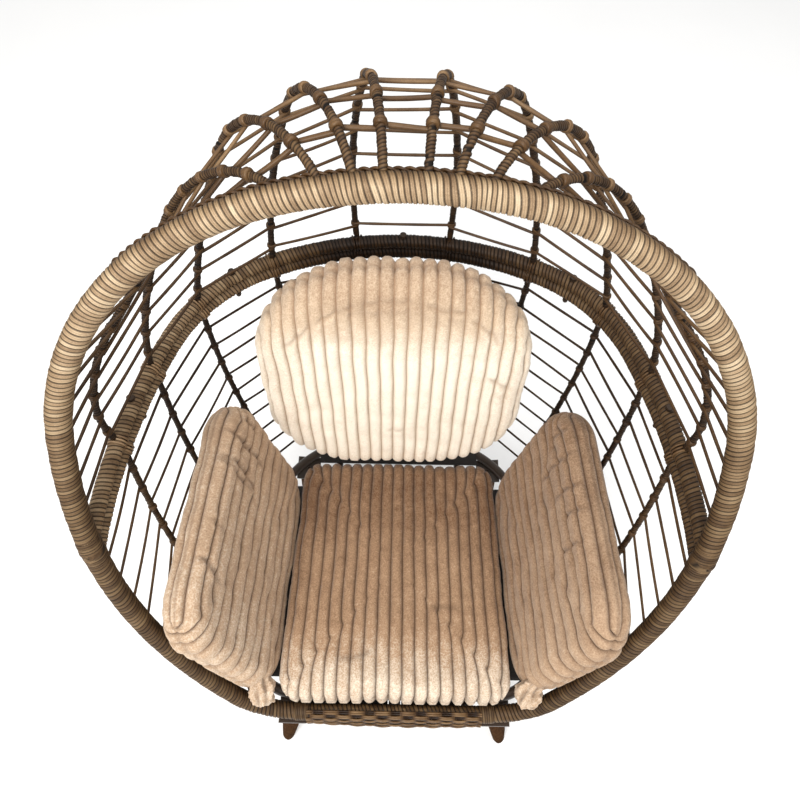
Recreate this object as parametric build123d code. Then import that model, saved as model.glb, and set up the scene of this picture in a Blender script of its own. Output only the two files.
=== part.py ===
from build123d import *
import math
import os

os.makedirs("parts", exist_ok=True)

# ---------------------------------------------------------------- driving dimensions (mm)
RING_Z = 846.0          # height of the joint plane between basket and hood
Y_SHIFT = -185.2        # junction plane to the middle of the chair's depth
HOOP_TILT = 30.45       # hood front hoop leans back from vertical
RAIL_TILT = 19.41       # basket front rail leans forward as it goes down
HOOP_TOP = 534.5        # hoop height measured in its own plane
HOOP_ARCS = [(624.8, 13.22), (437.4, 24.59), (364.2, 43.77), (769.7, 15.17)]
RAIL_BOTTOM = 553.6     # rail depth measured in its own plane
RAIL_STRAIGHT = 194.9   # half length of the straight bottom run
RAIL_ARCS = [(137.4, 57.81), (900.2, 33.0)]
RING_REAR = 592.3       # ring depth behind the junction
RING_ARCS = [(578.5, 26.21), (288.0, 45.08), (971.7, 20.60)]
RIM_EXTRA = 0.95        # the basket rim runs this many degrees further, onto the front rail

HOOP_TUBE_R, HOOP_WRAP_R = 13.0, 17.5
RAIL_TUBE_R, RAIL_WRAP_R = 13.0, 17.5
RING_TUBE_R, RING_WRAP_R = 9.5, 13.2
TUBE_WALL = 1.5
RING_OFFSET = 13.5      # each ring tube's centre above or below the joint plane
ROD_R, RIB_WRAP_R = 3.5, 6.0
STRAND_R = 2.3

# hood ribs: (distance along the half hoop from its top, distance along the half ring
# from its rear, direction where the rib leaves the hoop, direction where it meets the ring)
HOOD_RIBS = [(23.5, 86.0, (0.032, 0.862, 0.506), (-0.047, -0.097, -0.994)),
             (53.0, 247.0, (0.223, 0.791, 0.57), (0.107, 0.108, -0.988)),
             (87.2, 405.0, (0.438, 0.794, 0.421), (0.229, 0.092, -0.969)),
             (128.3, 552.0, (0.685, 0.728, -0.007), (0.156, -0.037, -0.987)),
             (300.4, 692.0, (0.162, 0.782, -0.602), (-0.15, 0.038, -0.988))]
HOOD_ROWS = [0.075, 0.165, 0.255, 0.345, 0.43, 0.51, 0.59, 0.665, 0.74, 0.815, 0.89]
# basket ribs: (foot x, foot distance along the seat slope, start direction)
BASKET_RIBS = [(60.0, 622.0, (0.0, 0.10, -1.0)), (175.0, 600.5, (0.02, 0.06, -1.0)), (271.0, 517.0, (0.03, -0.07, -0.99)),
               (308.0, 285.0, (0.0, -0.22, -0.975)), (308.0, 108.0, (0.0, -0.30, -0.95))]
BASKET_ROWS = [0.085, 0.17, 0.255, 0.34, 0.425, 0.51, 0.595, 0.68, 0.765, 0.85]

SEAT_SLOPE = 7.0        # seat falls towards the back
SEAT_Y, SEAT_Z = -150.0, -545.3
FRAME_R = 11.0
FRAME_HALF_W = 308.0
FRAME_DEPTH = 622.0
FRAME_FRONT_R, FRAME_REAR_R = 100.0, 230.0
SLAT_W, SLAT_T = 36.0, 4.0
SLAT_S = [22.0, 66.0, 158.0, 204.0, 240.0, 330.0, 376.0, 430.0, 565.0]

SEAT_W_FRONT, SEAT_W_REAR, SEAT_D, SEAT_T = 468.0, 450.0, 529.0, 100.0
SEAT_FRONT = -27.0      # the seat cushion's front edge on the slope
BACK_W, BACK_H, BACK_T, BACK_LEAN = 556.0, 590.0, 104.0, 9.83
BACK_X, BACK_Y, BACK_Z = -14.33, 445.6, -227.4
BACK_TOP_R, BACK_BOTTOM_R = 240.0, 200.0
SIDE_L, SIDE_H, SIDE_T, SIDE_R = 490.0, 395.0, 78.0, 90.0
SIDE_X, SIDE_S, SIDE_N, SIDE_LEAN, SIDE_TOE, SIDE_PITCH = 309.0, 230.05, 236.35, 13.95, 1.22, -0.03
COVER_T = 3.0

LEG_TOP_R, LEG_TIP_R = 21.0, 13.0
GLIDE_T = 4.0

# ---------------------------------------------------------------- helpers
O = Vector(0, Y_SHIFT, RING_Z)


def rad(a):
    return a * math.pi / 180


def half_chain(x, y, th, segs):
    """Tangent runs in a plane: list of (kind, start, mid, end) points."""
    out = []
    for R, a in segs:
        x0, y0 = x, y
        if R is None:
            x, y = x0 + a * math.cos(th), y0 + a * math.sin(th)
            out.append(("line", (x0, y0), ((x0 + x) / 2, (y0 + y) / 2), (x, y)))
        else:
            d = rad(a)
            for k in (0.5, 1.0):
                ch = 2 * R * math.sin(abs(d) * k / 2)
                px = x0 + ch * math.cos(th + d * k / 2)
                py = y0 + ch * math.sin(th + d * k / 2)
                if k == 0.5:
                    m = (px, py)
                else:
                    x, y = px, py
            th += d
            out.append(("arc", (x0, y0), m, (x, y)))
    return out, th


def full_path(half, to3):
    """Both mirrored halves as one wire of edges, left end to right end."""
    edges = []
    for kind, a, m, b in reversed(half):
        pa, pm, pb = (to3(-b[0], b[1]), to3(-m[0], m[1]), to3(-a[0], a[1]))
        edges.append(Line(pa, pb) if kind == "line" else ThreePointArc(pa, pm, pb))
    for kind, a, m, b in half:
        pa, pm, pb = to3(*a), to3(*m), to3(*b)
        edges.append(Line(pa, pb) if kind == "line" else ThreePointArc(pa, pm, pb))
    return Wire(edges)


def tube(path, r_out, r_in=0.0):
    face = Circle(r_out)
    if r_in > 0:
        face = face - Circle(r_in)
    return sweep(Plane(path @ 0, z_dir=path % 0) * face, path)


class Rib:
    """Run of tangent arcs given by points in space."""

    def __init__(self, arcs):
        self.arcs = []          # centre, u, v, radius, sweep angle
        for a, ta, b in arcs:
            w = b - a
            ta = ta.normalized()
            n = w - ta * w.dot(ta)
            n = n.normalized()
            R = w.dot(w) / (2 * w.dot(n))
            c = a + n * R
            ang = 2 * math.atan2(w.dot(n), w.dot(ta))
            self.arcs.append((c, n * -1, ta, R, ang))
        self.length = sum(R * g for _, _, _, R, g in self.arcs)

    def at(self, s):
        for c, u, v, R, g in self.arcs:
            if s <= R * g + 1e-6:
                t = s / R
                return c + u * (R * math.cos(t)) + v * (R * math.sin(t))
            s -= R * g
        return None

    def tangent(self, s):
        a, b = self.at(max(0, s - 0.5)), self.at(min(self.length, s + 0.5))
        return (b - a).normalized()

    def wire(self, cut_a=0.0, cut_b=0.0):
        lo, hi = cut_a, self.length - cut_b
        edges, s0 = [], 0.0
        for c, u, v, R, g in self.arcs:
            a, b = max(lo, s0), min(hi, s0 + R * g)
            if b - a > 0.5:
                t = [(a - s0) / R, (a + b - 2 * s0) / (2 * R), (b - s0) / R]
                p = [c + u * (R * math.cos(k)) + v * (R * math.sin(k)) for k in t]
                edges.append(ThreePointArc(p[0], p[1], p[2]))
            s0 += R * g
        return Wire(edges)


def biarc(p0, t0, p1, t1):
    v, t = p1 - p0, t0 + t1
    k = 2 * (1 - t0.dot(t1))
    vt = v.dot(t)
    d = (-vt + math.sqrt(vt * vt + k * v.dot(v))) / k
    q1, q2 = p0 + t0 * d, p1 - t1 * d
    pm = (q1 + q2) * 0.5
    return [(p0, t0, pm), (pm, (q2 - q1).normalized(), p1)]


def save(shape_list, name):
    items = shape_list if isinstance(shape_list, list) else [shape_list]
    solids = []
    for it in items:
        solids += list(it.solids())
    shape = solids[0] if len(solids) == 1 else Compound(children=solids)
    shape.label = name
    export_step(shape, "parts/" + name + ".step")
    print(name, len(solids), round(sum(s.volume for s in solids)))


def mirror_x(v):
    return Vector(-v.X, v.Y, v.Z)


# ---------------------------------------------------------------- outlines
def hoop3(x, t):
    return O + Vector(x, t * math.sin(rad(HOOP_TILT)), t * math.cos(rad(HOOP_TILT)))


def rail3(x, t):
    return O + Vector(x, t * math.sin(rad(RAIL_TILT)), t * math.cos(rad(RAIL_TILT)))


def ring3(z):
    return lambda x, y: O + Vector(x, y, z)


def slope3(x, s, n=0.0):
    """Point on the sloped seat plane: s back along the slope, n above it."""
    c, k = math.cos(rad(SEAT_SLOPE)), math.sin(rad(SEAT_SLOPE))
    return O + Vector(x, SEAT_Y + s * c + n * k, SEAT_Z - s * k + n * c)


hoop_half, th = half_chain(0, HOOP_TOP, 0, [(R, -a) for R, a in HOOP_ARCS])
ex, ey = hoop_half[-1][3]
hoop_half.append(("line", (ex, ey), (ex + 7 * math.cos(th), ey + 7 * math.sin(th)), (ex + 14 * math.cos(th), ey + 14 * math.sin(th))))
rail_half, th = half_chain(0, -RAIL_BOTTOM, 0, [(None, RAIL_STRAIGHT)] + [(R, a) for R, a in RAIL_ARCS])
ex, ey = rail_half[-1][3]
rail_half.append(("line", (ex, ey), (ex + 6 * math.cos(th), ey + 6 * math.sin(th)), (ex + 12 * math.cos(th), ey + 12 * math.sin(th))))
ring_half, th = half_chain(0, RING_REAR, 0, [(R, -a) for R, a in RING_ARCS])


def along(half, s):
    """Plane point a length s along the half outline."""
    for kind, a, m, b in half:
        if kind == "line":
            L = math.dist(a, b)
            if s <= L:
                return (a[0] + (b[0] - a[0]) * s / L, a[1] + (b[1] - a[1]) * s / L)
        else:
            e = ThreePointArc((*a, 0), (*m, 0), (*b, 0))
            L = e.length
            if s <= L:
                p = e @ (s / L)
                return (p.X, p.Y)
        s -= L
    return half[-1][3]


hoop_path = full_path(hoop_half, hoop3)
rail_path = full_path(rail_half, rail3)
base_path = full_path(ring_half, ring3(RING_OFFSET))
rim_half, th = half_chain(0, RING_REAR, 0, [(R, -a) for R, a in RING_ARCS[:2]] + [(RING_ARCS[2][0], -RING_ARCS[2][1] - RIM_EXTRA)])
rim_path = full_path(rim_half, ring3(-RING_OFFSET))

# ---------------------------------------------------------------- main tubes and their wraps
above = Pos(0, 0, RING_Z + 1000 + 0.1) * Box(3000, 3000, 2000)
below = Pos(0, 0, RING_Z - 1000 - 0.1) * Box(3000, 3000, 2000)

hood_hoop_tube = tube(hoop_path, HOOP_TUBE_R, HOOP_TUBE_R - TUBE_WALL) & above
hood_hoop_wrap = tube(hoop_path, HOOP_WRAP_R, HOOP_TUBE_R) & above
front_rail_tube = tube(rail_path, RAIL_TUBE_R, RAIL_TUBE_R - TUBE_WALL) & below
front_rail_wrap = tube(rail_path, RAIL_WRAP_R, RAIL_TUBE_R) & below
hood_base_tube = tube(base_path, RING_TUBE_R, RING_TUBE_R - TUBE_WALL)
hood_base_wrap = tube(base_path, RING_WRAP_R, RING_TUBE_R)
rim_tube = tube(rim_path, RING_TUBE_R, RING_TUBE_R - TUBE_WALL)
rim_wrap = tube(rim_path, RING_WRAP_R, RING_TUBE_R)

# bolts that clamp the two rings together, with their holes
bolt_xy = []
for s in (0.0, 326.0, 622.0):
    x, y = along(ring_half, s)
    bolt_xy += [(x, y)] if s == 0 else [(x, y), (-x, y)]
holes = [Pos(x, y + Y_SHIFT, RING_Z) * Cylinder(3.2, 80) for x, y in bolt_xy]
for h in holes:
    hood_base_tube -= h
    hood_base_wrap -= h
    rim_tube -= h
    rim_wrap -= h
top_z = RING_Z + RING_OFFSET + RING_WRAP_R
bot_z = RING_Z - RING_OFFSET - RING_WRAP_R
ring_bolts, ring_washers, ring_nuts = [], [], []
for x, y in bolt_xy:
    at = Pos(x, y + Y_SHIFT, 0)
    ring_bolts.append(at * Pos(0, 0, (top_z + bot_z) / 2 - 3.3) * Cylinder(3.0, top_z - bot_z + 9.4)
                      + at * Pos(0, 0, top_z + 1.4 + 2) * Cylinder(6.0, 4.0))
    for z in (top_z + 0.7, bot_z - 0.7):
        ring_washers.append(at * Pos(0, 0, z) * (Cylinder(7.0, 1.4) - Cylinder(3.2, 3)))
    ring_nuts.append(at * Pos(0, 0, bot_z - 1.4 - 3.5) * (extrude(RegularPolygon(5.6, 6), 3.5, both=True) - Cylinder(3.02, 10))
                     + at * Pos(0, 0, bot_z - 1.4 - 8.5) * Cylinder(4.6, 3.0))

# welded end caps where hoop and rail meet, and the bolt through them
cap_x = hoop_half[-2][3][0]
cap_upper, cap_lower, junction_bolts = [], [], []
for sx in (-1, 1):
    at = O + Vector(sx * cap_x, 0.6, 0)
    cap_upper.append(Pos(*(at + Vector(0, 0, 2.1))) * (Cylinder(9.8, 4.0) - Cylinder(4.2, 10)))
    cap_lower.append(Pos(*(at + Vector(0, 0, -2.1))) * (Cylinder(8.4, 4.0) - Cylinder(4.2, 10)))
    junction_bolts.append(Pos(*at) * Cylinder(4.0, 12) + Pos(*(at + Vector(0, 0, 7.2))) * Cylinder(6.4, 6.0)
                          + Pos(*(at + Vector(0, 0, -7.2))) * Cylinder(6.4, 6.0))

# ---------------------------------------------------------------- hood ribs and strands
hood_ribs = []
for sh, sg, leave, meet in HOOD_RIBS:
    H = hoop3(*along(hoop_half, sh))
    gx, gy = along(ring_half, sg)
    G = O + Vector(gx, gy, RING_OFFSET)
    arcs = biarc(H, Vector(*leave).normalized(), G, Vector(*meet).normalized())
    hood_ribs.append(Rib(arcs))
    hood_ribs.append(Rib([(mirror_x(a), mirror_x(t), mirror_x(b)) for a, t, b in arcs]))


def hoop_tangent(sx, s):
    a, b = along(hoop_half, max(0, s - 1)), along(hoop_half, s + 1)
    return (hoop3(sx * b[0], b[1]) - hoop3(sx * a[0], a[1])).normalized()


def cut_for(d, tangent, r):
    """Length of a run inside a bar of radius r that it meets at an angle."""
    k = d.normalized().dot(tangent)
    return (r - 0.2) / math.sqrt(max(0.09, 1 - k * k))


hood_rods = [tube(r.wire(), ROD_R) for r in hood_ribs]
hood_rib_wraps = []
for i, r in enumerate(hood_ribs):
    sx = 1 if i % 2 == 0 else -1
    cut = cut_for(r.tangent(1.0), hoop_tangent(sx, HOOD_RIBS[i // 2][0]), HOOP_WRAP_R + 3.0)
    hood_rib_wraps.append(tube(r.wire(cut, RING_WRAP_R), RIB_WRAP_R, ROD_R))


def rod_between(p, q, cut_p, cut_q, r=STRAND_R):
    d = q - p
    L = d.length - cut_p - cut_q
    a = p + d.normalized() * cut_p
    return Plane(a, z_dir=d.normalized()) * Cylinder(r, L, align=(Align.CENTER, Align.CENTER, Align.MIN))


# ribs in order from the left side to the right side
hood_order = [hood_ribs[i] for i in (9, 7, 5, 3, 1, 0, 2, 4, 6, 8)]
hood_strands = []
for f in HOOD_ROWS:
    pts = [(r.at(r.length * (1 - f)), r.tangent(r.length * (1 - f))) for r in hood_order]
    for (p, tp), (q, tq) in zip(pts, pts[1:]):
        hood_strands.append(rod_between(p, q, cut_for(q - p, tp, RIB_WRAP_R), cut_for(q - p, tq, RIB_WRAP_R)))
# from the outermost rib forward to the hoop
hoop_len = sum(ThreePointArc((*a, 0), (*m, 0), (*b, 0)).length for k, a, m, b in hoop_half[:-1])
for f in HOOD_ROWS[:-1]:
    s = hoop_len - (hoop_len - HOOD_RIBS[4][0]) * (0.94 * f + 0.045)
    x, t = along(hoop_half, s)
    for sx, rib in ((1, hood_order[9]), (-1, hood_order[0])):
        p, q = rib.at(rib.length * (1 - f)), hoop3(sx * x, t)
        hood_strands.append(rod_between(p, q, cut_for(q - p, rib.tangent(rib.length * (1 - f)), RIB_WRAP_R),
                                        cut_for(q - p, hoop_tangent(sx, s), HOOP_WRAP_R)))

# ---------------------------------------------------------------- seat frame, deck and basket ribs
def frame_half():
    w, d, rf, rr = FRAME_HALF_W, FRAME_DEPTH, FRAME_FRONT_R, FRAME_REAR_R
    k = math.sqrt(0.5)
    return [("line", (0, 0), None, (w - rf, 0)),
            ("arc", (w - rf, 0), (w - rf + rf * k, rf - rf * k), (w, rf)),
            ("line", (w, rf), None, (w, d - rr)),
            ("arc", (w, d - rr), (w - rr + rr * k, d - rr + rr * k), (w - rr, d)),
            ("line", (w - rr, d), None, (0, d))]


right = [Line(slope3(*a), slope3(*b)) if k == "line" else ThreePointArc(slope3(*a), slope3(*m), slope3(*b)) for k, a, m, b in frame_half()]
left = [Line(slope3(-b[0], b[1]), slope3(-a[0], a[1])) if k == "line" else
        ThreePointArc(slope3(-b[0], b[1]), slope3(-m[0], m[1]), slope3(-a[0], a[1])) for k, a, m, b in reversed(frame_half())]
frame_path = Wire(right + left)
seat_frame_tube = sweep(Plane(slope3(0, 0), z_dir=(1, 0, 0)) * (Circle(FRAME_R) - Circle(FRAME_R - TUBE_WALL)), frame_path)


def frame_x(s):
    if s < FRAME_FRONT_R:
        return FRAME_HALF_W - FRAME_FRONT_R + math.sqrt(FRAME_FRONT_R ** 2 - (FRAME_FRONT_R - s) ** 2)
    if s > FRAME_DEPTH - FRAME_REAR_R:
        return FRAME_HALF_W - FRAME_REAR_R + math.sqrt(max(0, FRAME_REAR_R ** 2 - (s - FRAME_DEPTH + FRAME_REAR_R) ** 2))
    return FRAME_HALF_W


slope_x = Vector(1, 0, 0)
slope_n = Vector(0, math.sin(rad(SEAT_SLOPE)), math.cos(rad(SEAT_SLOPE)))


def slope_plane(x, s, n):
    return Plane(slope3(x, s, n), x_dir=slope_x, z_dir=slope_n)


deck_slats = []
for s in SLAT_S:
    w = min(frame_x(s - SLAT_W / 2), frame_x(s + SLAT_W / 2)) - 6
    deck_slats.append(slope_plane(0, s, FRAME_R + 0.2 + SLAT_T / 2) * Box(2 * w, SLAT_W, SLAT_T))
deck_runner = [slope_plane(sx * 150.0, FRAME_DEPTH / 2, -0.0) * Rot(90, 0, 0) * (Cylinder(8.0, FRAME_DEPTH - 2 * FRAME_R + 4) - Cylinder(6.8, FRAME_DEPTH)) for sx in (-1, 1)]

# tabs that join the seat frame to the front rail
frame_tabs = []
rail_mid = rail3(0, -RAIL_BOTTOM)
for x in (-150.0, 0.0, 150.0):
    a = slope3(x, 0)
    b = Vector(x, rail_mid.Y, rail_mid.Z)
    d = b - a
    frame_tabs.append(Plane(a + d * 0.5 + d.normalized() * ((FRAME_R - RAIL_WRAP_R) / 2), x_dir=(1, 0, 0), z_dir=d.normalized())
                      * Box(24, 8, d.length - FRAME_R - RAIL_WRAP_R + 1.6))

basket_ribs = []
for i, (fx, fs, t0) in enumerate(BASKET_RIBS):
    gx, gy = along(ring_half, HOOD_RIBS[i][1])
    G = O + Vector(gx, gy, -RING_OFFSET)
    B = slope3(fx, fs)
    arc = [(G, Vector(*t0).normalized(), B)]
    basket_ribs.append(Rib(arc))
    basket_ribs.append(Rib([(mirror_x(G), mirror_x(Vector(*t0)).normalized(), mirror_x(B))]))
basket_rods = [tube(r.wire(0, FRAME_R - 1.0), ROD_R) for r in basket_ribs]
basket_rib_wraps = [tube(r.wire(RING_WRAP_R, FRAME_R + 0.5), RIB_WRAP_R, ROD_R) for r in basket_ribs]

basket_order = [basket_ribs[i] for i in (9, 7, 5, 3, 1, 0, 2, 4, 6, 8)]
basket_strands = []
for f in BASKET_ROWS:
    pts = [r.at(r.length * f) for r in basket_order]
    for p, q in zip(pts, pts[1:]):
        basket_strands.append(rod_between(p, q, RIB_WRAP_R - 0.2, RIB_WRAP_R - 0.2))
# side panels: from the outermost ribs forward and down to the front rail
rail_arc_len = sum(ThreePointArc((*a, 0), (*m, 0), (*b, 0)).length for k, a, m, b in rail_half[1:-1])
for f in BASKET_ROWS:
    s = RAIL_STRAIGHT + rail_arc_len * (1 - 1.0 * f)
    x, t = along(rail_half, s)
    for sx, rib in ((1, basket_order[9]), (-1, basket_order[0])):
        p = rib.at(rib.length * f)
        basket_strands.append(rod_between(p, rail3(sx * x, t), RIB_WRAP_R - 0.2, RAIL_WRAP_R - 0.2))

# woven apron along the straight bottom of the rail
apron = []
rc = rail3(0, -RAIL_BOTTOM)
for k, (dy, dz) in enumerate(((-20.2, 3.0), (-20.2, -9.0), (-20.2, -21.0))):
    apron.append(Pos(0, rc.Y + dy, rc.Z + dz) * Box(376, 3.0, 11.0))
for x in range(-180, 181, 24):
    apron.append(Pos(x, rc.Y - 23.4, rc.Z - 9.0) * Box(7, 3.0, 35.0))

# ---------------------------------------------------------------- legs
LEGS = {"front_left_leg": ((-212.0, -178.0, -566.0), (-257.0, -222.0)),
        "front_right_leg": ((212.0, -178.0, -566.0), (257.0, -222.0)),
        "rear_left_leg": ((-232.0, 392.0, -634.0), (-264.0, 424.0)),
        "rear_right_leg": ((232.0, 392.0, -634.0), (264.0, 424.0))}
legs, plates, leg_bolts, glides = {}, [], [], []
floor_cut = Pos(0, 0, -500 + GLIDE_T) * Box(3000, 3000, 1000)
for name, (top, tip) in LEGS.items():
    a = O + Vector(*top)
    b = Vector(tip[0], tip[1] + Y_SHIFT, 0)
    d = (b - a)
    L = d.length + 12
    pl = Plane(a, z_dir=d.normalized())
    leg = pl * Cone(LEG_TOP_R, LEG_TIP_R, L, align=(Align.CENTER, Align.CENTER, Align.MIN)) - floor_cut
    leg -= pl * Pos(0, 0, 20) * Cylinder(4.1, 50)
    legs[name] = leg
    plates.append(pl * Pos(0, 0, -3.1) * (Box(58, 58, 6.0) - Cylinder(4.3, 10)))
    leg_bolts.append(pl * Pos(0, 0, 17.4) * Cylinder(4.0, 46.8))
    glides.append(Pos(b.X - 0.2 * d.X / d.length, b.Y, GLIDE_T / 2 - 0.05) * Cylinder(LEG_TIP_R - 1.5, GLIDE_T - 0.1))

# ---------------------------------------------------------------- cushions
def pillow(sketch, thick, edge):
    s = extrude(sketch, thick / 2, both=True)
    return fillet(s.edges().filter_by(Plane.XY), edge)


def cushion(place, outer, inner, name):
    core = place * inner
    save([place * (outer - inner)], name + "_cover")
    save([core], name + "_fill")


def trapezoid(w0, w1, d, r):
    f = make_face(Polyline((-w0 / 2, 0), (w0 / 2, 0), (w1 / 2, d), (-w1 / 2, d), close=True))
    return fillet(f.vertices(), r)


deck_top = FRAME_R + 0.2 + SLAT_T
seat_place = slope_plane(0, SEAT_FRONT, deck_top + 0.6 + SEAT_T / 2)
cushion(seat_place, pillow(trapezoid(SEAT_W_FRONT, SEAT_W_REAR, SEAT_D, 45), SEAT_T, 36),
        Pos(0, COVER_T, 0) * pillow(trapezoid(SEAT_W_FRONT - 2 * COVER_T, SEAT_W_REAR - 2 * COVER_T, SEAT_D - 2 * COVER_T, 42), SEAT_T - 2 * COVER_T, 33),
        "seat_cushion")


def back_outline(w, h, rt, rb):
    f = Rectangle(w, h)
    vs = f.vertices().sort_by(Axis.Y)
    f = fillet(vs[:2], rb)
    vs = f.vertices().sort_by(Axis.Y)
    return fillet(vs[-2:], rt)


bl = rad(BACK_LEAN)
back_place = Plane(O + Vector(BACK_X, BACK_Y, BACK_Z), x_dir=(1, 0, 0), z_dir=(0, -math.cos(bl), math.sin(bl)))
cushion(back_place, pillow(back_outline(BACK_W, BACK_H, BACK_TOP_R, BACK_BOTTOM_R), BACK_T, 48),
        pillow(back_outline(BACK_W - 2 * COVER_T, BACK_H - 2 * COVER_T, BACK_TOP_R - COVER_T, BACK_BOTTOM_R - COVER_T), BACK_T - 2 * COVER_T, 45), "back_cushion")

sl = rad(SIDE_LEAN)
for sx, side in ((-1, "left"), (1, "right")):
    base = slope_plane(sx * SIDE_X, SIDE_S, SIDE_N)
    local = base * Plane(Vector(0, 0, 0), x_dir=Vector(math.sin(rad(SIDE_TOE)) * -sx, math.cos(rad(SIDE_TOE)), 0),
                         z_dir=Vector(-sx * math.cos(sl), -math.sin(rad(SIDE_TOE)) * math.cos(sl), math.sin(sl)))
    local = local * Rot(0, 0, sx * SIDE_PITCH)
    cushion(local, pillow(fillet(Rectangle(SIDE_L, SIDE_H).vertices(), SIDE_R), SIDE_T, 37),
            pillow(fillet(Rectangle(SIDE_L - 2 * COVER_T, SIDE_H - 2 * COVER_T).vertices(), SIDE_R - COVER_T), SIDE_T - 2 * COVER_T, 34), side + "_side_cushion")

# ---------------------------------------------------------------- write the pieces
save(hood_hoop_tube, "hood_hoop_tube")
save(hood_hoop_wrap, "hood_hoop_wrap")
save(hood_base_tube, "hood_base_tube")
save(hood_base_wrap, "hood_base_wrap")
save(hood_rods, "hood_rib_rods")
save(hood_rib_wraps, "hood_rib_wraps")
save(hood_strands, "hood_strands")
save(front_rail_tube, "front_rail_tube")
save(front_rail_wrap, "front_rail_wrap")
save(rim_tube, "basket_rim_tube")
save(rim_wrap, "basket_rim_wrap")
save(basket_rods, "basket_rib_rods")
save(basket_rib_wraps, "basket_rib_wraps")
save(basket_strands, "basket_strands")
save(seat_frame_tube, "seat_frame_tube")
save(deck_runner, "deck_runner_tubes")
save(deck_slats, "deck_slats")
save(frame_tabs, "frame_tabs")
save(apron, "front_apron_weave")
save(ring_bolts, "ring_bolts")
save(ring_washers, "ring_washers")
save(ring_nuts, "ring_cap_nuts")
save(cap_upper, "hoop_end_caps")
save(cap_lower, "rail_end_caps")
save(junction_bolts, "junction_bolts")
for name, leg in legs.items():
    save(leg, name)
save(plates, "leg_plates")
save(leg_bolts, "leg_bolts")
save(glides, "foot_glides")
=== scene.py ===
import bpy
import math
import numpy as np
from mathutils import Matrix, Vector


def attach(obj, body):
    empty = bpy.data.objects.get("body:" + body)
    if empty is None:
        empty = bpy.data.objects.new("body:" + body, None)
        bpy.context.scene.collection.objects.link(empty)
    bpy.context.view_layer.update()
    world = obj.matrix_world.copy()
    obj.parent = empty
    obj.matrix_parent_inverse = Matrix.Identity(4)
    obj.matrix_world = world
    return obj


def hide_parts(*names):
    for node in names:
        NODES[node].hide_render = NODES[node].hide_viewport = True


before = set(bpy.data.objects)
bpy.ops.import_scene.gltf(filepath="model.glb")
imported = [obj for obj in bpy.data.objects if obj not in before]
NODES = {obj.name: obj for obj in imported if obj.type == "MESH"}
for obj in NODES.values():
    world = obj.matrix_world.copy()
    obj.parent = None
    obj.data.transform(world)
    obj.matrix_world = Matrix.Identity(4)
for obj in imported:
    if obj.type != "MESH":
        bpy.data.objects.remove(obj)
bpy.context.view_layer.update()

MM = 0.001
TAU = 2 * math.pi

# ---------------------------------------------------------------- seeded variation
def hash01(k, seed):
    k = np.asarray(k, np.int64)
    x = (k * 374761393 + seed * 668265263) & 0x7FFFFFFF
    x = ((x ^ (x >> 13)) * 1274126177) & 0x7FFFFFFF
    x = x ^ (x >> 16)
    return (x & 0xFFFF) / 65535.0


def wob(s, period, seed):
    """Smooth wander along a length, about -1 to 1."""
    r = np.random.default_rng(seed)
    out = np.zeros_like(np.asarray(s, float))
    for k in range(4):
        p = period * r.uniform(0.5, 1.7)
        out = out + np.sin(np.asarray(s) * TAU / p + r.uniform(0, TAU)) * 0.4
    return out


def cloud(P, size, seed, n=9):
    """Smooth field in space with lumps of about that size, about -1 to 1."""
    r = np.random.default_rng(seed)
    out = np.zeros(P.shape[:-1])
    for k in range(n):
        d = r.normal(size=3)
        d = d / np.linalg.norm(d) * (TAU / size) * r.uniform(0.55, 1.5)
        out = out + np.sin(P @ d + r.uniform(0, TAU))
    return out / math.sqrt(n) * 0.9


def unit(v):
    v = np.asarray(v, float)
    return v / np.maximum(np.linalg.norm(v, axis=-1, keepdims=True), 1e-12)


def smooth01(x):
    x = np.clip(x, 0, 1)
    return x * x * (3 - 2 * x)


# ---------------------------------------------------------------- the chair's lines, in mm
O = np.array([0.0, -185.2, 846.0])
HOOP_TILT, RAIL_TILT = math.radians(30.45), math.radians(19.41)
HOOP_ARCS = [(624.8, -13.22), (437.4, -24.59), (364.2, -43.77), (769.7, -15.17)]
RAIL_RUN, RAIL_ARCS = 194.9, [(137.4, 57.81), (900.2, 33.0)]
RING_ARCS = [(578.5, -26.21), (288.0, -45.08), (971.7, -20.60)]
HOOP_R, RING_R, RIB_R, STRAND_R, RING_UP = 17.5, 13.2, 6.0, 2.3, 13.5
HOOD_RIBS = [(23.5, 86.0, (0.032, 0.862, 0.506), (-0.047, -0.097, -0.994)),
             (53.0, 247.0, (0.223, 0.791, 0.57), (0.107, 0.108, -0.988)),
             (87.2, 405.0, (0.438, 0.794, 0.421), (0.229, 0.092, -0.969)),
             (128.3, 552.0, (0.685, 0.728, -0.007), (0.156, -0.037, -0.987)),
             (300.4, 692.0, (0.162, 0.782, -0.602), (-0.15, 0.038, -0.988))]
HOOD_ROWS = [0.075, 0.165, 0.255, 0.345, 0.43, 0.51, 0.59, 0.665, 0.74, 0.815, 0.89]
BASKET_RIBS = [(60.0, 622.0, (0.0, 0.10, -1.0)), (175.0, 600.5, (0.02, 0.06, -1.0)), (271.0, 517.0, (0.03, -0.07, -0.99)),
               (308.0, 285.0, (0.0, -0.22, -0.975)), (308.0, 108.0, (0.0, -0.30, -0.95))]
BASKET_ROWS = [0.085, 0.17, 0.255, 0.34, 0.425, 0.51, 0.595, 0.68, 0.765, 0.85]
SLOPE, SEAT_Y, SEAT_Z = math.radians(7.0), -150.0, -545.3


def chain(x, y, th, segs):
    pts = [np.array([[x, y]])]
    for R, a in segs:
        n = max(4, int((a if R is None else abs(math.radians(a)) * R) / 1.0))
        t = np.linspace(0, 1, n + 1)[1:]
        if R is None:
            P = np.c_[x + a * t * math.cos(th), y + a * t * math.sin(th)]
        else:
            d = math.radians(a)
            ch = 2 * R * np.sin(abs(d) * t / 2)
            P = np.c_[x + ch * np.cos(th + d * t / 2), y + ch * np.sin(th + d * t / 2)]
            th += d
        x, y = P[-1]
        pts.append(P)
    return np.vstack(pts)


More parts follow.
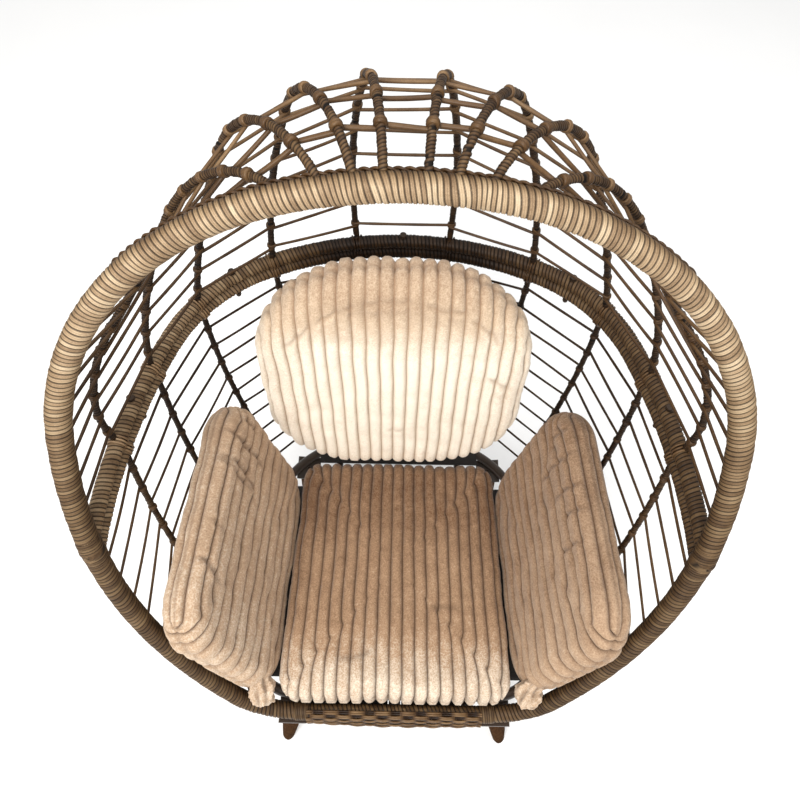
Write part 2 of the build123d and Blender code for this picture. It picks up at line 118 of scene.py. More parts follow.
class Path:
    def __init__(self, P):
        self.P = np.asarray(P, float)
        self.s = np.r_[0, np.cumsum(np.linalg.norm(np.diff(self.P, axis=0), axis=1))]
        self.length = self.s[-1]

    def at(self, s):
        return np.stack([np.interp(s, self.s, self.P[:, k]) for k in range(3)], -1)

    def tan(self, s, e=1.5):
        s = np.asarray(s, float)
        return unit(self.at(np.minimum(s + e, self.length)) - self.at(np.maximum(s - e, 0)))


def tilted(P2, tilt):
    return O + np.c_[P2[:, 0], P2[:, 1] * math.sin(tilt), P2[:, 1] * math.cos(tilt)]


def level(P2, z):
    return O + np.c_[P2[:, 0], P2[:, 1], np.full(len(P2), z)]


def both(P):
    L = P[::-1] * np.array([-1, 1, 1])
    return Path(np.vstack([L[:-1], P]))


def slope3(x, s, n=0.0):
    c, k = math.cos(SLOPE), math.sin(SLOPE)
    return O + np.array([x, SEAT_Y + s * c + n * k, SEAT_Z - s * k + n * c])


hoop2 = chain(0, 534.5, 0, HOOP_ARCS)
rail2 = chain(0, -553.6, 0, [(None, RAIL_RUN)] + RAIL_ARCS)
ring2 = chain(0, 592.3, 0, RING_ARCS[:2] + [(971.7, -21.25)])
rim2 = chain(0, 592.3, 0, RING_ARCS[:2] + [(971.7, -21.55)])
hoop_half, rail_half = Path(tilted(hoop2, HOOP_TILT)), Path(tilted(rail2, RAIL_TILT))
ring_half = Path(level(ring2, 0))
hoop_path, rail_path = both(tilted(hoop2, HOOP_TILT)), both(tilted(rail2, RAIL_TILT))
base_path, rim_path = both(level(ring2, RING_UP)), both(level(rim2, -RING_UP))
HOOP_N = np.array([0, -math.cos(HOOP_TILT), math.sin(HOOP_TILT)])
RAIL_N = np.array([0, -math.cos(RAIL_TILT), math.sin(RAIL_TILT)])
UP = np.array([0, 0, 1.0])


def arc3(a, ta, b, step=1.0):
    w, ta = b - a, unit(ta)
    n = unit(w - ta * (w @ ta))
    R = (w @ w) / (2 * (w @ n))
    g = 2 * math.atan2(w @ n, w @ ta)
    t = np.linspace(0, g, max(6, int(R * g / step)))[:, None]
    c = a + n * R
    return c - n * R * np.cos(t) + ta * R * np.sin(t)


def biarc(p0, t0, p1, t1):
    v, t = p1 - p0, t0 + t1
    k = 2 * (1 - t0 @ t1)
    vt = v @ t
    d = (-vt + math.sqrt(vt * vt + k * (v @ v))) / k
    q1, q2 = p0 + t0 * d, p1 - t1 * d
    pm = (q1 + q2) / 2
    A = arc3(p0, t0, pm)
    B = arc3(pm, unit(q2 - q1), p1)
    return np.vstack([A, B[1:]])


MIR = np.array([-1.0, 1, 1])
hood_ribs, basket_ribs = [], []          # (path, plane normal), left outermost to right outermost
for i in range(5):
    sh, sg, leave, meet = HOOD_RIBS[i]
    H, G = hoop_half.at(sh), ring_half.at(sg) + UP * RING_UP
    P = biarc(H, unit(leave), G, unit(meet))
    n = unit(np.cross(G - H, UP))
    hood_ribs = [(Path(P * MIR), n * MIR)] + hood_ribs + [(Path(P), n)]
    fx, fs, st = BASKET_RIBS[i]
    G = ring_half.at(sg) - UP * RING_UP
    B = slope3(fx, fs)
    P = arc3(G, np.array(st, float), B)
    n = unit(np.cross(unit(np.array(st, float)), B - G))
    basket_ribs = [(Path(P * MIR), n * MIR)] + basket_ribs + [(Path(P), n)]


# ---------------------------------------------------------------- mesh building
class Acc:
    """Collects swept strips into one mesh with a colour attribute."""

    def __init__(self):
        self.V, self.Q, self.C, self.caps, self.n = [], [], [], [], 0

    def add(self, V, Q, C, caps=()):
        self.V.append(V)
        self.Q.append(Q + self.n)
        self.C.append(C)
        self.caps += [np.asarray(c) + self.n for c in caps]
        self.n += len(V)

    def build(self, name, mat):
        return make_mesh(name, np.vstack(self.V), np.vstack(self.Q), np.vstack(self.C), self.caps, mat)


def make_mesh(name, V, Q, C, caps, mat):
    me = bpy.data.meshes.new(name)
    loops = np.concatenate([Q.ravel()] + [np.asarray(c) for c in caps]).astype(np.int32)
    sizes = np.concatenate([np.full(len(Q), 4), np.array([len(c) for c in caps], int)]).astype(np.int32)
    starts = np.r_[0, np.cumsum(sizes)[:-1]].astype(np.int32)
    me.vertices.add(len(V))
    me.vertices.foreach_set("co", (V * MM).astype(np.float32).ravel())
    me.loops.add(len(loops))
    me.loops.foreach_set("vertex_index", loops)
    me.polygons.add(len(starts))
    me.polygons.foreach_set("loop_start", starts)
    me.polygons.foreach_set("use_smooth", np.ones(len(starts), bool))
    at = me.attributes.new("tint", "FLOAT_COLOR", "POINT")
    at.data.foreach_set("color", np.c_[C, np.ones(len(C))].astype(np.float32).ravel())
    me.update(calc_edges=True)
    me.validate()
    ob = bpy.data.objects.new(name, me)
    bpy.context.scene.collection.objects.link(ob)
    me.materials.append(mat)
    return ob


def ring_faces(n, m):
    i, j = np.arange(n - 1)[:, None], np.arange(m)[None, :]
    k = (j + 1) % m
    return np.stack([i * m + j, i * m + k, (i + 1) * m + k, (i + 1) * m + j], -1).reshape(-1, 4)


def ends(n, m):
    return [np.arange(m)[::-1], (n - 1) * m + np.arange(m)]


# directions for painted light across bars and strands: lighter on the side toward FRONT and on the side facing SKY
FRONT, SKY = np.array([0.0, -0.883, -0.469]), np.array([0.0, -0.469, 0.883])


def wound(acc, path, nrm, R, strip, starts, ds, seg, seed, amp=1.2, mid=0.4, s0=0.0, s1=None, mitre=False, gaps=0.02, swell=None, slack=0.3, lit=None, turn=0.25, face=0.25):
    """A bar wound with wicker: each turn is a raised strip with a fine groove along it. Its colour carries painted
    shade in the grooves and painted light: the lit factor, lighter toward FRONT (turn) and on the side facing SKY
    (face).
    """
    s1 = path.length if s1 is None else s1
    n = int((s1 - s0) / ds) + 1
    s = np.linspace(s0, s1, n)
    Cn, T = path.at(s), path.tan(s)
    B = unit(nrm - T * (T @ nrm)[:, None])
    N = np.cross(B, T)
    ph = np.arange(seg) / seg * TAU
    drift = wob(s, 120, seed) * slack * strip
    u = (s + drift)[:, None] / strip - starts * ph[None, :] / TAU + 0.10 * np.sin(ph * 2 + 0.7)[None, :] * wob(s, 60, seed + 1)[:, None]
    k = np.floor(u)
    t = u - k
    tone = hash01(k, seed)
    low = hash01(k, seed + 5) < gaps
    depth = amp * np.abs(2 * t - 1) ** 3 + mid * amp * np.exp(-((t - 0.5) / 0.1) ** 2) + low * 1.3
    r = R - 0.3 - depth + (hash01(k, seed + 9) - 0.5) * 0.7
    if swell is not None:
        r = r + swell(s)[:, None]
    rad = N[:, None, :] * np.cos(ph)[None, :, None] + B[:, None, :] * np.sin(ph)[None, :, None]
    V = Cn[:, None, :] + rad * r[..., None]
    if mitre:
        w = np.maximum(smooth01(1 - (s - s[0]) / 40), smooth01(1 - (s[-1] - s) / 40))
        tz = np.where(w > 0, T[:, 2], 1.0)
        off = -(r * rad[..., 2]) / tz[:, None] * w[:, None]
        V = V + T[:, None, :] * off[..., None]
    # painted shade: the gaps between strips and the low strips are darkened toward the shade colour
    groove = np.clip(1.12 * np.abs(2 * t - 1) ** 1.4 + 1.5 * mid * np.exp(-((t - 0.5) / 0.11) ** 2) + low, 0, 1)
    # painted light and shade: the lit factor, lighter toward FRONT and toward SKY, kept in the blue channel
    light = (0.6 if lit is None else lit(Cn)) * (1 + 0.10 * wob(s, 200, seed + 3))
    light = light[:, None] * (1 + turn * (rad @ FRONT)) * (1 - face + 1.5 * face * np.maximum(0, rad @ SKY))
    col = np.stack([tone, groove, np.clip(light, 0.01, 1)], -1)
    acc.add(V.reshape(-1, 3), ring_faces(n, seg), col.reshape(-1, 3), ends(n, seg))


def rod(acc, P, r, seg, seed, tone=0.5, taper=0.0, lit=None):
    """A plain round strand along points, with a twist-free frame. Its colour carries painted light: the lit factor,
    lighter on the side facing SKY.
    """
    P = np.asarray(P, float)
    T = unit(np.gradient(P, axis=0))
    N = np.zeros_like(P)
    n0 = np.cross(T[0], UP if abs(T[0][2]) < 0.9 else np.array([1.0, 0, 0]))
    N[0] = unit(n0)
    for i in range(1, len(P)):
        v = N[i - 1] - T[i] * (N[i - 1] @ T[i])
        N[i] = v / np.linalg.norm(v)
    B = np.cross(T, N)
    ph = np.arange(seg) / seg * TAU
    s = np.r_[0, np.cumsum(np.linalg.norm(np.diff(P, axis=0), axis=1))]
    rr = r * (1 + 0.05 * wob(s, 60, seed))
    if taper:
        rr = rr * (1 - taper * np.exp(-s / 3.0)) * (1 - taper * np.exp(-(s[-1] - s) / 3.0))
    rad = N[:, None, :] * np.cos(ph)[None, :, None] + B[:, None, :] * np.sin(ph)[None, :, None]
    V = P[:, None, :] + rad * rr[:, None, None]
    t = np.clip(tone + 0.22 * wob(s, 150, seed + 2), 0, 1)
    # painted light and shade: the lit factor, lighter on the side facing SKY
    light = (0.6 if lit is None else lit(P)) * (1 + 0.12 * wob(s, 70, seed + 4))
    col = np.stack([np.broadcast_to(t[:, None], (len(P), seg)), np.zeros((len(P), seg)), np.clip(light[:, None] * (0.5 + 0.75 * np.maximum(0, rad @ SKY)), 0.01, 1)], -1)
    acc.add(V.reshape(-1, 3), ring_faces(len(P), seg), col.reshape(-1, 3), ends(len(P), seg))


def finish_piece(ob, body, slot, *nodes):
    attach(ob, body)
    if nodes:
        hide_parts(*nodes)
    return ob


# ---------------------------------------------------------------- materials
class Mat:
    def __init__(self, name):
        self.m = bpy.data.materials.new(name)
        self.m.use_nodes = True
        self.t = self.m.node_tree
        self.t.nodes.clear()
        self.out = self.n("ShaderNodeOutputMaterial")
        self.p = self.n("ShaderNodeBsdfPrincipled")
        self.l(self.p.outputs[0], self.out.inputs[0])

    def n(self, kind, inputs=None, **kw):
        nd = self.t.nodes.new(kind)
        for k, v in kw.items():
            setattr(nd, k, v)
        for k, v in (inputs or {}).items():
            if hasattr(v, "is_output"):
                self.l(v, nd.inputs[k])
            else:
                nd.inputs[k].default_value = v
        return nd

    def l(self, a, b):
        self.t.links.new(a, b)

    def math(self, op, a, b=0.0, clamp=False):
        return self.n("ShaderNodeMath", {0: a, 1: b}, operation=op, use_clamp=clamp).outputs[0]

    def mix(self, f, a, b, mode="MIX"):
        nd = self.n("ShaderNodeMix", data_type="RGBA", blend_type=mode)
        for sock, v in ((nd.inputs[0], f), (nd.inputs[6], a), (nd.inputs[7], b)):
            if hasattr(v, "is_output"):
                self.l(v, sock)
            else:
                sock.default_value = v
        return nd.outputs[2]

    def ramp(self, f, stops):
        nd = self.n("ShaderNodeValToRGB", {0: f})
        e = nd.color_ramp.elements
        while len(e) < len(stops):
            e.new(0.5)
        for k, (p, c) in enumerate(stops):
            e[k].position = p
            e[k].color = c
        return nd.outputs[0]

    def noise(self, scale, detail=3.0, rough=0.55, vec=None, dist=0.0):
        nd = self.n("ShaderNodeTexNoise", {"Scale": scale, "Detail": detail, "Roughness": rough, "Distortion": dist})
        if vec is None:
            vec = self.obj()
        self.l(vec, nd.inputs["Vector"])
        return nd.outputs[0]

    def obj(self):
        if not hasattr(self, "tc"):
            self.tc = self.n("ShaderNodeTexCoord")
        return self.tc.outputs["Object"]

    def attr(self):
        a = self.n("ShaderNodeAttribute", attribute_name="tint")
        s = self.n("ShaderNodeSeparateColor", {0: a.outputs["Color"]})
        return s.outputs

    def bump(self, h, strength, dist):
        b = self.n("ShaderNodeBump", {"Height": h, "Strength": strength, "Distance": dist})
        self.l(b.outputs[0], self.p.inputs["Normal"])


def rgb(r, g, b):
    """sRGB 0-255 to a linear colour."""
    f = lambda v: (v / 255 / 12.92) if v <= 10 else ((v / 255 + 0.055) / 1.055) ** 2.4
    return (f(r), f(g), f(b), 1.0)


def wicker(name, dark, mid, light, shade_col):
    """Wound resin wicker: strips close in tone, fine streaks, painted shade in the gaps, and painted light and shade
    from the lit channel, browner in the shaded parts.
    """
    M = Mat(name)
    tone, groove, lit = M.attr()[:3]
    n1 = M.noise(60.0, 3.0)
    n2 = M.noise(900.0, 2.0, 0.6)
    f = M.math("ADD", M.math("MULTIPLY", M.math("SUBTRACT", tone, 0.5), 0.50), 0.5)
    f = M.math("ADD", f, M.math("MULTIPLY", M.math("SUBTRACT", n1, 0.5), 0.5))
    f = M.math("ADD", f, M.math("MULTIPLY", M.math("SUBTRACT", n2, 0.5), 0.6), True)
    c = M.ramp(f, [(0.1, dark), (0.5, mid), (0.9, light)])
    g = M.math("POWER", groove, 1.15)
    # painted shade: the gaps between strips are mixed toward the shade colour
    c = M.mix(M.math("MULTIPLY", g, 0.96), c, shade_col)
    # painted light and shade: the lit channel is multiplied into the colour
    v = M.n("ShaderNodeCombineColor", {0: lit, 1: M.math("POWER", lit, 1.16), 2: M.math("POWER", lit, 1.42)}).outputs[0]
    c = M.mix(1.0, c, v, "MULTIPLY")
    M.l(c, M.p.inputs["Base Color"])
    r = M.math("ADD", M.math("MULTIPLY", n2, 0.22), M.math("ADD", M.math("MULTIPLY", g, 0.35), 0.30), True)
    M.l(r, M.p.inputs["Roughness"])
    M.p.inputs["Specular IOR Level"].default_value = 0.20
    M.bump(M.math("ADD", M.math("MULTIPLY", n2, 0.5), n1), 0.25, 0.0006)
    return M.m


def plush(name, shade_col, dark, mid, light):
    """Short-pile ribbed plush: soft sheen, brushed patches, fine pile, painted shadow in the channels, painted shade in
    seams and creases, and painted light and shade from the tone channel.
    """
    M = Mat(name)
    groove, tone, fold = M.attr()[:3]
    n1 = M.noise(16.0, 3.0, 0.5, dist=0.4)
    n2 = M.noise(85.0, 4.0, 0.6, dist=0.8)
    n3 = M.noise(520.0, 4.0, 0.7, dist=1.2)
    v = M.n("ShaderNodeTexVoronoi", {"Scale": 330.0, "Randomness": 1.0})
    M.l(M.obj(), v.inputs["Vector"])
    curl = v.outputs["Distance"]
    # painted light and shade: the tone channel sets how light the fabric is
    f = M.math("ADD", M.math("MULTIPLY", M.math("SUBTRACT", n1, 0.5), 0.36), tone)
    f = M.math("ADD", f, M.math("MULTIPLY", M.math("SUBTRACT", n2, 0.5), 0.38))
    f = M.math("ADD", f, M.math("MULTIPLY", M.math("SUBTRACT", n3, 0.5), 0.62))
    f = M.math("ADD", f, M.math("MULTIPLY", M.math("SUBTRACT", curl, 0.35), 0.30), True)
    c = M.ramp(f, [(0.0, dark), (0.5, mid), (1.0, light)])
    g = M.math("POWER", groove, 1.3)
    # painted shade: the channels between ribs, then the seams and creases, are mixed toward the shade colour
    c = M.mix(M.math("MULTIPLY", g, 0.93), c, shade_col)
    c = M.mix(M.math("MULTIPLY", fold, 0.75), c, shade_col)
    M.l(c, M.p.inputs["Base Color"])
    M.p.inputs["Roughness"].default_value = 0.92
    M.p.inputs["Specular IOR Level"].default_value = 0.15
    M.p.inputs["Sheen Weight"].default_value = 0.22
    M.p.inputs["Sheen Roughness"].default_value = 0.38
    M.p.inputs["Sheen Tint"].default_value = (1.0, 0.94, 0.87, 1.0)
    h = M.math("ADD", M.math("MULTIPLY", n3, 1.0), M.math("ADD", M.math("MULTIPLY", n2, 0.9), M.math("MULTIPLY", curl, 0.5)))
    M.bump(h, 0.6, 0.0024)
    return M.m


def coated(name, base, speck, rough=0.42, metal=0.0):
    M = Mat(name)
    n1, n2 = M.noise(38.0, 3.0), M.noise(1400.0, 2.0)
    f = M.math("ADD", M.math("MULTIPLY", n1, 0.6), M.math("MULTIPLY", n2, 0.4), True)
    M.l(M.ramp(f, [(0.3, base), (0.7, speck)]), M.p.inputs["Base Color"])
    M.l(M.math("ADD", M.math("MULTIPLY", n2, 0.2), rough - 0.1, True), M.p.inputs["Roughness"])
    M.p.inputs["Metallic"].default_value = metal
    M.bump(n2, 0.2, 0.0003)
    return M.m


def webbing(name, base, light):
    M = Mat(name)
    w = M.n("ShaderNodeTexWave", {"Scale": 150.0, "Distortion": 0.5, "Detail": 1.0}, wave_type="BANDS", bands_direction="X")
    M.l(M.obj(), w.inputs["Vector"])
    w2 = M.n("ShaderNodeTexWave", {"Scale": 150.0, "Distortion": 0.5, "Detail": 1.0}, wave_type="BANDS", bands_direction="Y")
    M.l(M.obj(), w2.inputs["Vector"])
    h = M.math("MULTIPLY", w.outputs[1], w2.outputs[1])
    n = M.noise(60.0, 3.0)
    M.l(M.ramp(M.math("ADD", M.math("MULTIPLY", h, 0.6), M.math("MULTIPLY", n, 0.4), True), [(0.1, base), (0.9, light)]), M.p.inputs["Base Color"])
    M.p.inputs["Roughness"].default_value = 0.75
    M.bump(h, 0.5, 0.001)
    return M.m


def wood(name, dark, mid, light):
    M = Mat(name)
    mp = M.n("ShaderNodeMapping", {"Scale": (1.0, 1.0, 0.12)})
    M.l(M.obj(), mp.inputs["Vector"])
    n1 = M.noise(120.0, 6.0, 0.65, vec=mp.outputs[0], dist=1.5)
    n2 = M.noise(520.0, 3.0, 0.6, vec=mp.outputs[0])
    f = M.math("ADD", M.math("MULTIPLY", n1, 0.7), M.math("MULTIPLY", n2, 0.3), True)
    M.l(M.ramp(f, [(0.3, dark), (0.52, mid), (0.75, light)]), M.p.inputs["Base Color"])
    M.l(M.math("ADD", M.math("MULTIPLY", n2, 0.25), 0.3, True), M.p.inputs["Roughness"])
    M.bump(f, 0.3, 0.0008)
    return M.m


# painted shade colour for the gaps between wicker strips
W_GAP_SHADE = rgb(22, 14, 8)
# one resin wicker throughout: the hoop's lighter palette and the darker rail, ring, rib, strand and apron palettes are
# painted light and shade
m_hoop = wicker("wicker_hoop", rgb(128, 101, 74), rgb(190, 162, 128), rgb(232, 209, 175), W_GAP_SHADE)
m_rail = wicker("wicker_rail", rgb(118, 93, 68), rgb(178, 150, 117), rgb(224, 200, 166), W_GAP_SHADE)
m_ring = wicker("wicker_ring", rgb(118, 93, 68), rgb(176, 148, 116), rgb(222, 197, 163), rgb(12, 8, 5))
m_rib = wicker("wicker_rib", rgb(104, 80, 58), rgb(166, 138, 108), rgb(214, 188, 154), rgb(14, 9, 6))
m_strand = wicker("wicker_strand", rgb(104, 80, 58), rgb(164, 136, 106), rgb(212, 186, 152), rgb(14, 9, 6))
m_apron = wicker("wicker_apron", rgb(106, 82, 58), rgb(166, 138, 106), rgb(216, 190, 154), rgb(14, 9, 6))
m_steel = coated("steel_dark_coat", rgb(44, 32, 23), rgb(60, 45, 33))
m_fast = coated("bronze_fastener", rgb(40, 30, 22), rgb(62, 48, 36), 0.4, 0.6)
m_web = webbing("deck_webbing", rgb(18, 14, 11), rgb(46, 37, 30))
m_leg = wood("leg_wood", rgb(34, 22, 13), rgb(66, 45, 29), rgb(92, 66, 44))
for n in m_leg.node_tree.nodes:
    if n.type == "BSDF_PRINCIPLED":
        n.inputs["Specular IOR Level"].default_value = 0.02
        n.inputs["IOR"].default_value = 1.03
m_glide = coated("glide_plastic", rgb(20, 18, 17), rgb(34, 31, 29), 0.55)
# one plush fabric for all cushions: the back's lighter palette and the seat's darker one are painted light and shade
m_seat = plush("plush_seat", rgb(56, 37, 25), rgb(102, 74, 53), rgb(165, 135, 107), rgb(236, 224, 205))
m_back = plush("plush_back", rgb(150, 121, 95), rgb(160, 130, 104), rgb(216, 193, 166), rgb(253, 243, 226))
m_side = plush("plush_side", rgb(72, 50, 35), rgb(120, 92, 69), rgb(179, 151, 124), rgb(236, 223, 203))
m_lining = webbing("cushion_lining", rgb(196, 180, 158), rgb(226, 213, 194))

for name, ob in NODES.items():
    if name.endswith(("_bolts", "_washers", "_nuts")):
        m = m_fast
    elif name.endswith("_slats"):
        m = m_web
    elif name.endswith("_glides"):
        m = m_glide
    else:
        m = m_steel
    ob.data.materials.clear()
    ob.data.materials.append(m)
    for p in ob.data.polygons:
        p.material_index = 0

# ---------------------------------------------------------------- wound bars
# painted light and shade, multiplied into the wicker's colour: pale along the top of the hood, dark brown low in the
# basket and lighter toward its front, the ring dark at the back, lighter on the right and palest on the left, the rail
# fairly dark all along
def lit_hoop(P):
    return 0.265 + 0.515 * smooth01((P[..., 2] - 900) / 330)


def lit_rail(P):
    return 0.28 + 0.05 * np.cos(P[..., 0] / 90)


def lit_ring(P):
    return 0.05 + 0.62 * smooth01((-P[..., 0] - 120) / 240) + 0.20 * smooth01((P[..., 0] - 120) / 240)


def lit_hood(P):
    return 0.085 + 0.11 * smooth01((P[..., 2] - 1000) / 280)


def lit_basket(P):
    return 0.06 + 0.13 * smooth01((120 - P[..., 1]) / 300)


a = Acc()
wound(a, hoop_path, HOOP_N, HOOP_R, 6.3, 3, 0.62, 28, 11, amp=1.9, mid=0.38, mitre=True, gaps=0.0, lit=lit_hoop, turn=0.80)
hoop_ob = finish_piece(a.build("hood_hoop_winding", m_hoop), "frame", "wicker_wrap", "hood_hoop_wrap")
a = Acc()
rmid = rail_path.length / 2
wound(a, rail_path, RAIL_N, HOOP_R, 8.2, 3, 0.66, 28, 23, amp=2.3, mid=0.34, mitre=True, gaps=0.0, lit=lit_rail,
      swell=lambda s: -2.4 * smooth01((186 - np.abs(s - rmid)) / 12))
rail_ob = finish_piece(a.build("front_rail_winding", m_rail), "frame", "wicker_wrap", "front_rail_wrap")
a = Acc()
wound(a, base_path, UP, RING_R, 7.0, 2, 0.64, 22, 37, amp=1.9, mid=0.3, gaps=0.0, lit=lit_ring)
base_ob = finish_piece(a.build("hood_base_winding", m_ring), "frame", "wicker_wrap", "hood_base_wrap")
a = Acc()
wound(a, rim_path, UP, RING_R, 7.0, 2, 0.64, 22, 53, amp=1.9, mid=0.3, gaps=0.0, lit=lit_ring)
rim_ob = finish_piece(a.build("basket_rim_winding", m_ring), "frame", "wicker_wrap", "basket_rim_wrap")

# thicker bindings where hoop, rail and ring come together, and beside the apron
a = Acc()
for sx in (-1, 1):
    hp = Path(np.vstack([tilted(hoop2, HOOP_TILT)[-34:], tilted(rail2, RAIL_TILT)[::-1][1:30]]) * np.array([sx, 1, 1]))
    wound(a, hp, HOOP_N, HOOP_R + 1.2, 4.6, 3, 0.7, 26, 71 + sx, amp=1.3, swell=lambda s, L=hp.length: -2.6 * (1 - np.sin(np.clip(s / L, 0, 1) * math.pi) ** 0.4), lit=lit_hoop)
    # painted shade: the bindings beside the apron get a fixed low lit factor
    wound(a, rail_path, RAIL_N, HOOP_R + 1.8, 4.4, 2, 0.7, 26, 81 + sx, amp=1.3, s0=rmid + sx * 189 - 15, s1=rmid + sx * 189 + 15,
          swell=lambda s, c=rmid + sx * 189: -2.2 * (np.abs(s - c) / 15) ** 6, lit=lambda P: np.full(len(P), 0.24))
bind_ob = finish_piece(a.build("frame_bindings", m_rail), "frame", "wicker_wrap")

# ---------------------------------------------------------------- ribs
a = Acc()
for i, (p, n) in enumerate(hood_ribs):
    wound(a, p, n, RIB_R, 4.6, 2, 0.92, 12, 101 + i, amp=1.1, mid=0.1, s0=6, s1=p.length - 5, gaps=0.02, slack=0.6, lit=lit_hood, face=0.6)
hood_rib_ob = finish_piece(a.build("hood_rib_windings", m_rib), "frame", "wicker_wrap", "hood_rib_wraps")
a = Acc()
for i, (p, n) in enumerate(basket_ribs):
    wound(a, p, n, RIB_R, 4.6, 2, 0.92, 12, 131 + i, amp=1.1, mid=0.1, s0=5, s1=p.length - 3, gaps=0.02, slack=0.6, lit=lit_basket, face=0.6)
basket_rib_ob = finish_piece(a.build("basket_rib_windings", m_rib), "frame", "wicker_wrap", "basket_rib_wraps")

# ---------------------------------------------------------------- strands, each looped once round every rib it meets
MID = O + np.array([0, 250.0, -60.0])


def strand(acc, knots, first, last, seed, lit, way=1, thick=0.2):
    """knots: (point, rib direction). first and last: end points in a bar, or None."""
    cs = [k[0] for k in knots]
    pts, prev = [], None
    r = np.random.default_rng(seed)
    if first is not None:
        pts.append(np.asarray([first]))
        prev = first
    for i, (c, ax) in enumerate(knots):
        before = cs[i - 1] if i else first
        after = cs[i + 1] if i + 1 < len(cs) else last
        din = unit(c - before) if before is not None else unit(after - c)
        dout = unit(after - c) if after is not None else unit(c - before)
        out = c - MID
        e1 = din + dout
        e1 = unit(e1 - ax * (e1 @ ax))
        if np.cross(ax, e1) @ out < 0:
            ax = -ax
        e2 = np.cross(ax, e1)
        a0 = math.atan2(din @ e2, din @ e1) - way * math.pi / 2
        a1 = math.atan2(dout @ e2, dout @ e1) + way * (2 * TAU - math.pi / 2)
        th = np.linspace(a0, a1, 34)
        h = np.linspace(-1, 1, 34) * (3.4 if r.random() < 0.5 else -3.4)
        Rk = RIB_R - 0.9 + 0.4 * np.cos(th * 2 + seed)[:, None]
        loop = c + Rk * (np.cos(th)[:, None] * e1 + np.sin(th)[:, None] * e2) + h[:, None] * ax
        if prev is not None:
            pts.append(span(prev, loop[0], r))
        pts.append(loop)
        prev = loop[-1]
    if last is not None:
        pts.append(span(prev, last, r))
        pts.append(np.asarray([last]))
    P = np.vstack(pts)
    keep = np.r_[True, np.linalg.norm(np.diff(P, axis=0), axis=1) > 0.3]
    rod(acc, P[keep], STRAND_R + thick, 8, seed, tone=0.35 + 0.3 * r.random(), lit=lit)


def span(p, q, r):
    L = np.linalg.norm(q - p)
    n = max(2, int(L / 16))
    t = np.linspace(0, 1, n + 1)[1:-1][:, None]
    sag = np.array([r.normal() * 0.5, r.normal() * 0.5, -abs(r.normal()) * 0.9]) * (L / 120)
    return p + (q - p) * t + sag * 4 * t * (1 - t)


a = Acc()
hl = hoop_half.length
for j, f in enumerate(HOOD_ROWS):
    knots = [(p.at(p.length * (1 - f)), p.tan(p.length * (1 - f))) for p, n in hood_ribs]
    L = R = None
    if j < len(HOOD_ROWS) - 1:
        R = hoop_half.at(hl - (hl - HOOD_RIBS[4][0]) * (0.94 * f + 0.045))
        L = R * MIR
    # painted light: rows behind the front ones get 1.5 times the hood's lit factor, the front rows 1.0, so the front
    # rows are darker
    strand(a, knots, L, R, 201 + j, lambda P, k=(1.0 if f > 0.8 else 1.5): k * lit_hood(P), thick=0.2 + 0.5 * (f > 0.8) + 0.4 * (f > 0.87))
hood_strand_ob = finish_piece(a.build("hood_strand_lines", m_strand), "frame", "wicker_strand", "hood_strands")
a = Acc()
ral = rail_half.length - RAIL_RUN
for j, f in enumerate(BASKET_ROWS):
    knots = [(p.at(p.length * f), p.tan(p.length * f)) for p, n in basket_ribs]
    R = rail_half.at(RAIL_RUN + ral * (1 - f))
    strand(a, knots, R * MIR, R, 231 + j, lit_basket, way=-1)
basket_strand_ob = finish_piece(a.build("basket_strand_lines", m_strand), "frame", "wicker_strand", "basket_strands")

# lashings that hold each rib to its ring
a = Acc()
rc0 = base_path.length / 2
for i in range(5):
    for sx in (-1, 1):
        for path, z in ((base_path, 1), (rim_path, -1)):
            c0 = path.length / 2 + sx * HOOD_RIBS[i][1]
            th = np.linspace(0, TAU * 3.2, 72)
            s = c0 + np.linspace(-8.5, 8.5, 72)
            C, T = path.at(s), path.tan(s)
            N = np.cross(UP, T)
            P = C + (RING_R + 0.7) * (np.cos(th)[:, None] * N + np.sin(th)[:, None] * UP)
            # painted light and shade from the ring's lit factor
            rod(a, P, 1.7, 7, 301 + i * 4 + sx + z, tone=0.4, lit=lit_ring)
# a twisted pair of strands along the back of the hoop, over the rib ends
hm = hoop_path.length / 2
ss = np.arange(hm - 350, hm + 350, 2.2)
C, T = hoop_path.at(ss), hoop_path.tan(ss)
out = unit(np.cross(T, HOOP_N))
out = out * np.sign((out * (C - O)).sum(1))[:, None]
bk = unit(out * 0.80 - HOOP_N * 0.60)
sd = np.cross(T, bk)
for k in (0, 1):
    th = ss / 24.0 * TAU + k * math.pi
    P = C + bk * (HOOP_R + 2.0 + 1.7 * np.cos(th))[:, None] + sd * (2.4 * np.sin(th))[:, None]
    # painted shade: a fixed low lit factor for the twisted pair
    rod(a, P, 2.0, 7, 381 + k, tone=0.4, lit=lambda P: np.full(len(P), 0.14))
lash_ob = finish_piece(a.build("rib_lashings", m_rib), "frame", "wicker_strand")

# ---------------------------------------------------------------- woven apron, over the straight run and hanging in front of it
a = Acc()
rc = rail_half.at(0.0)
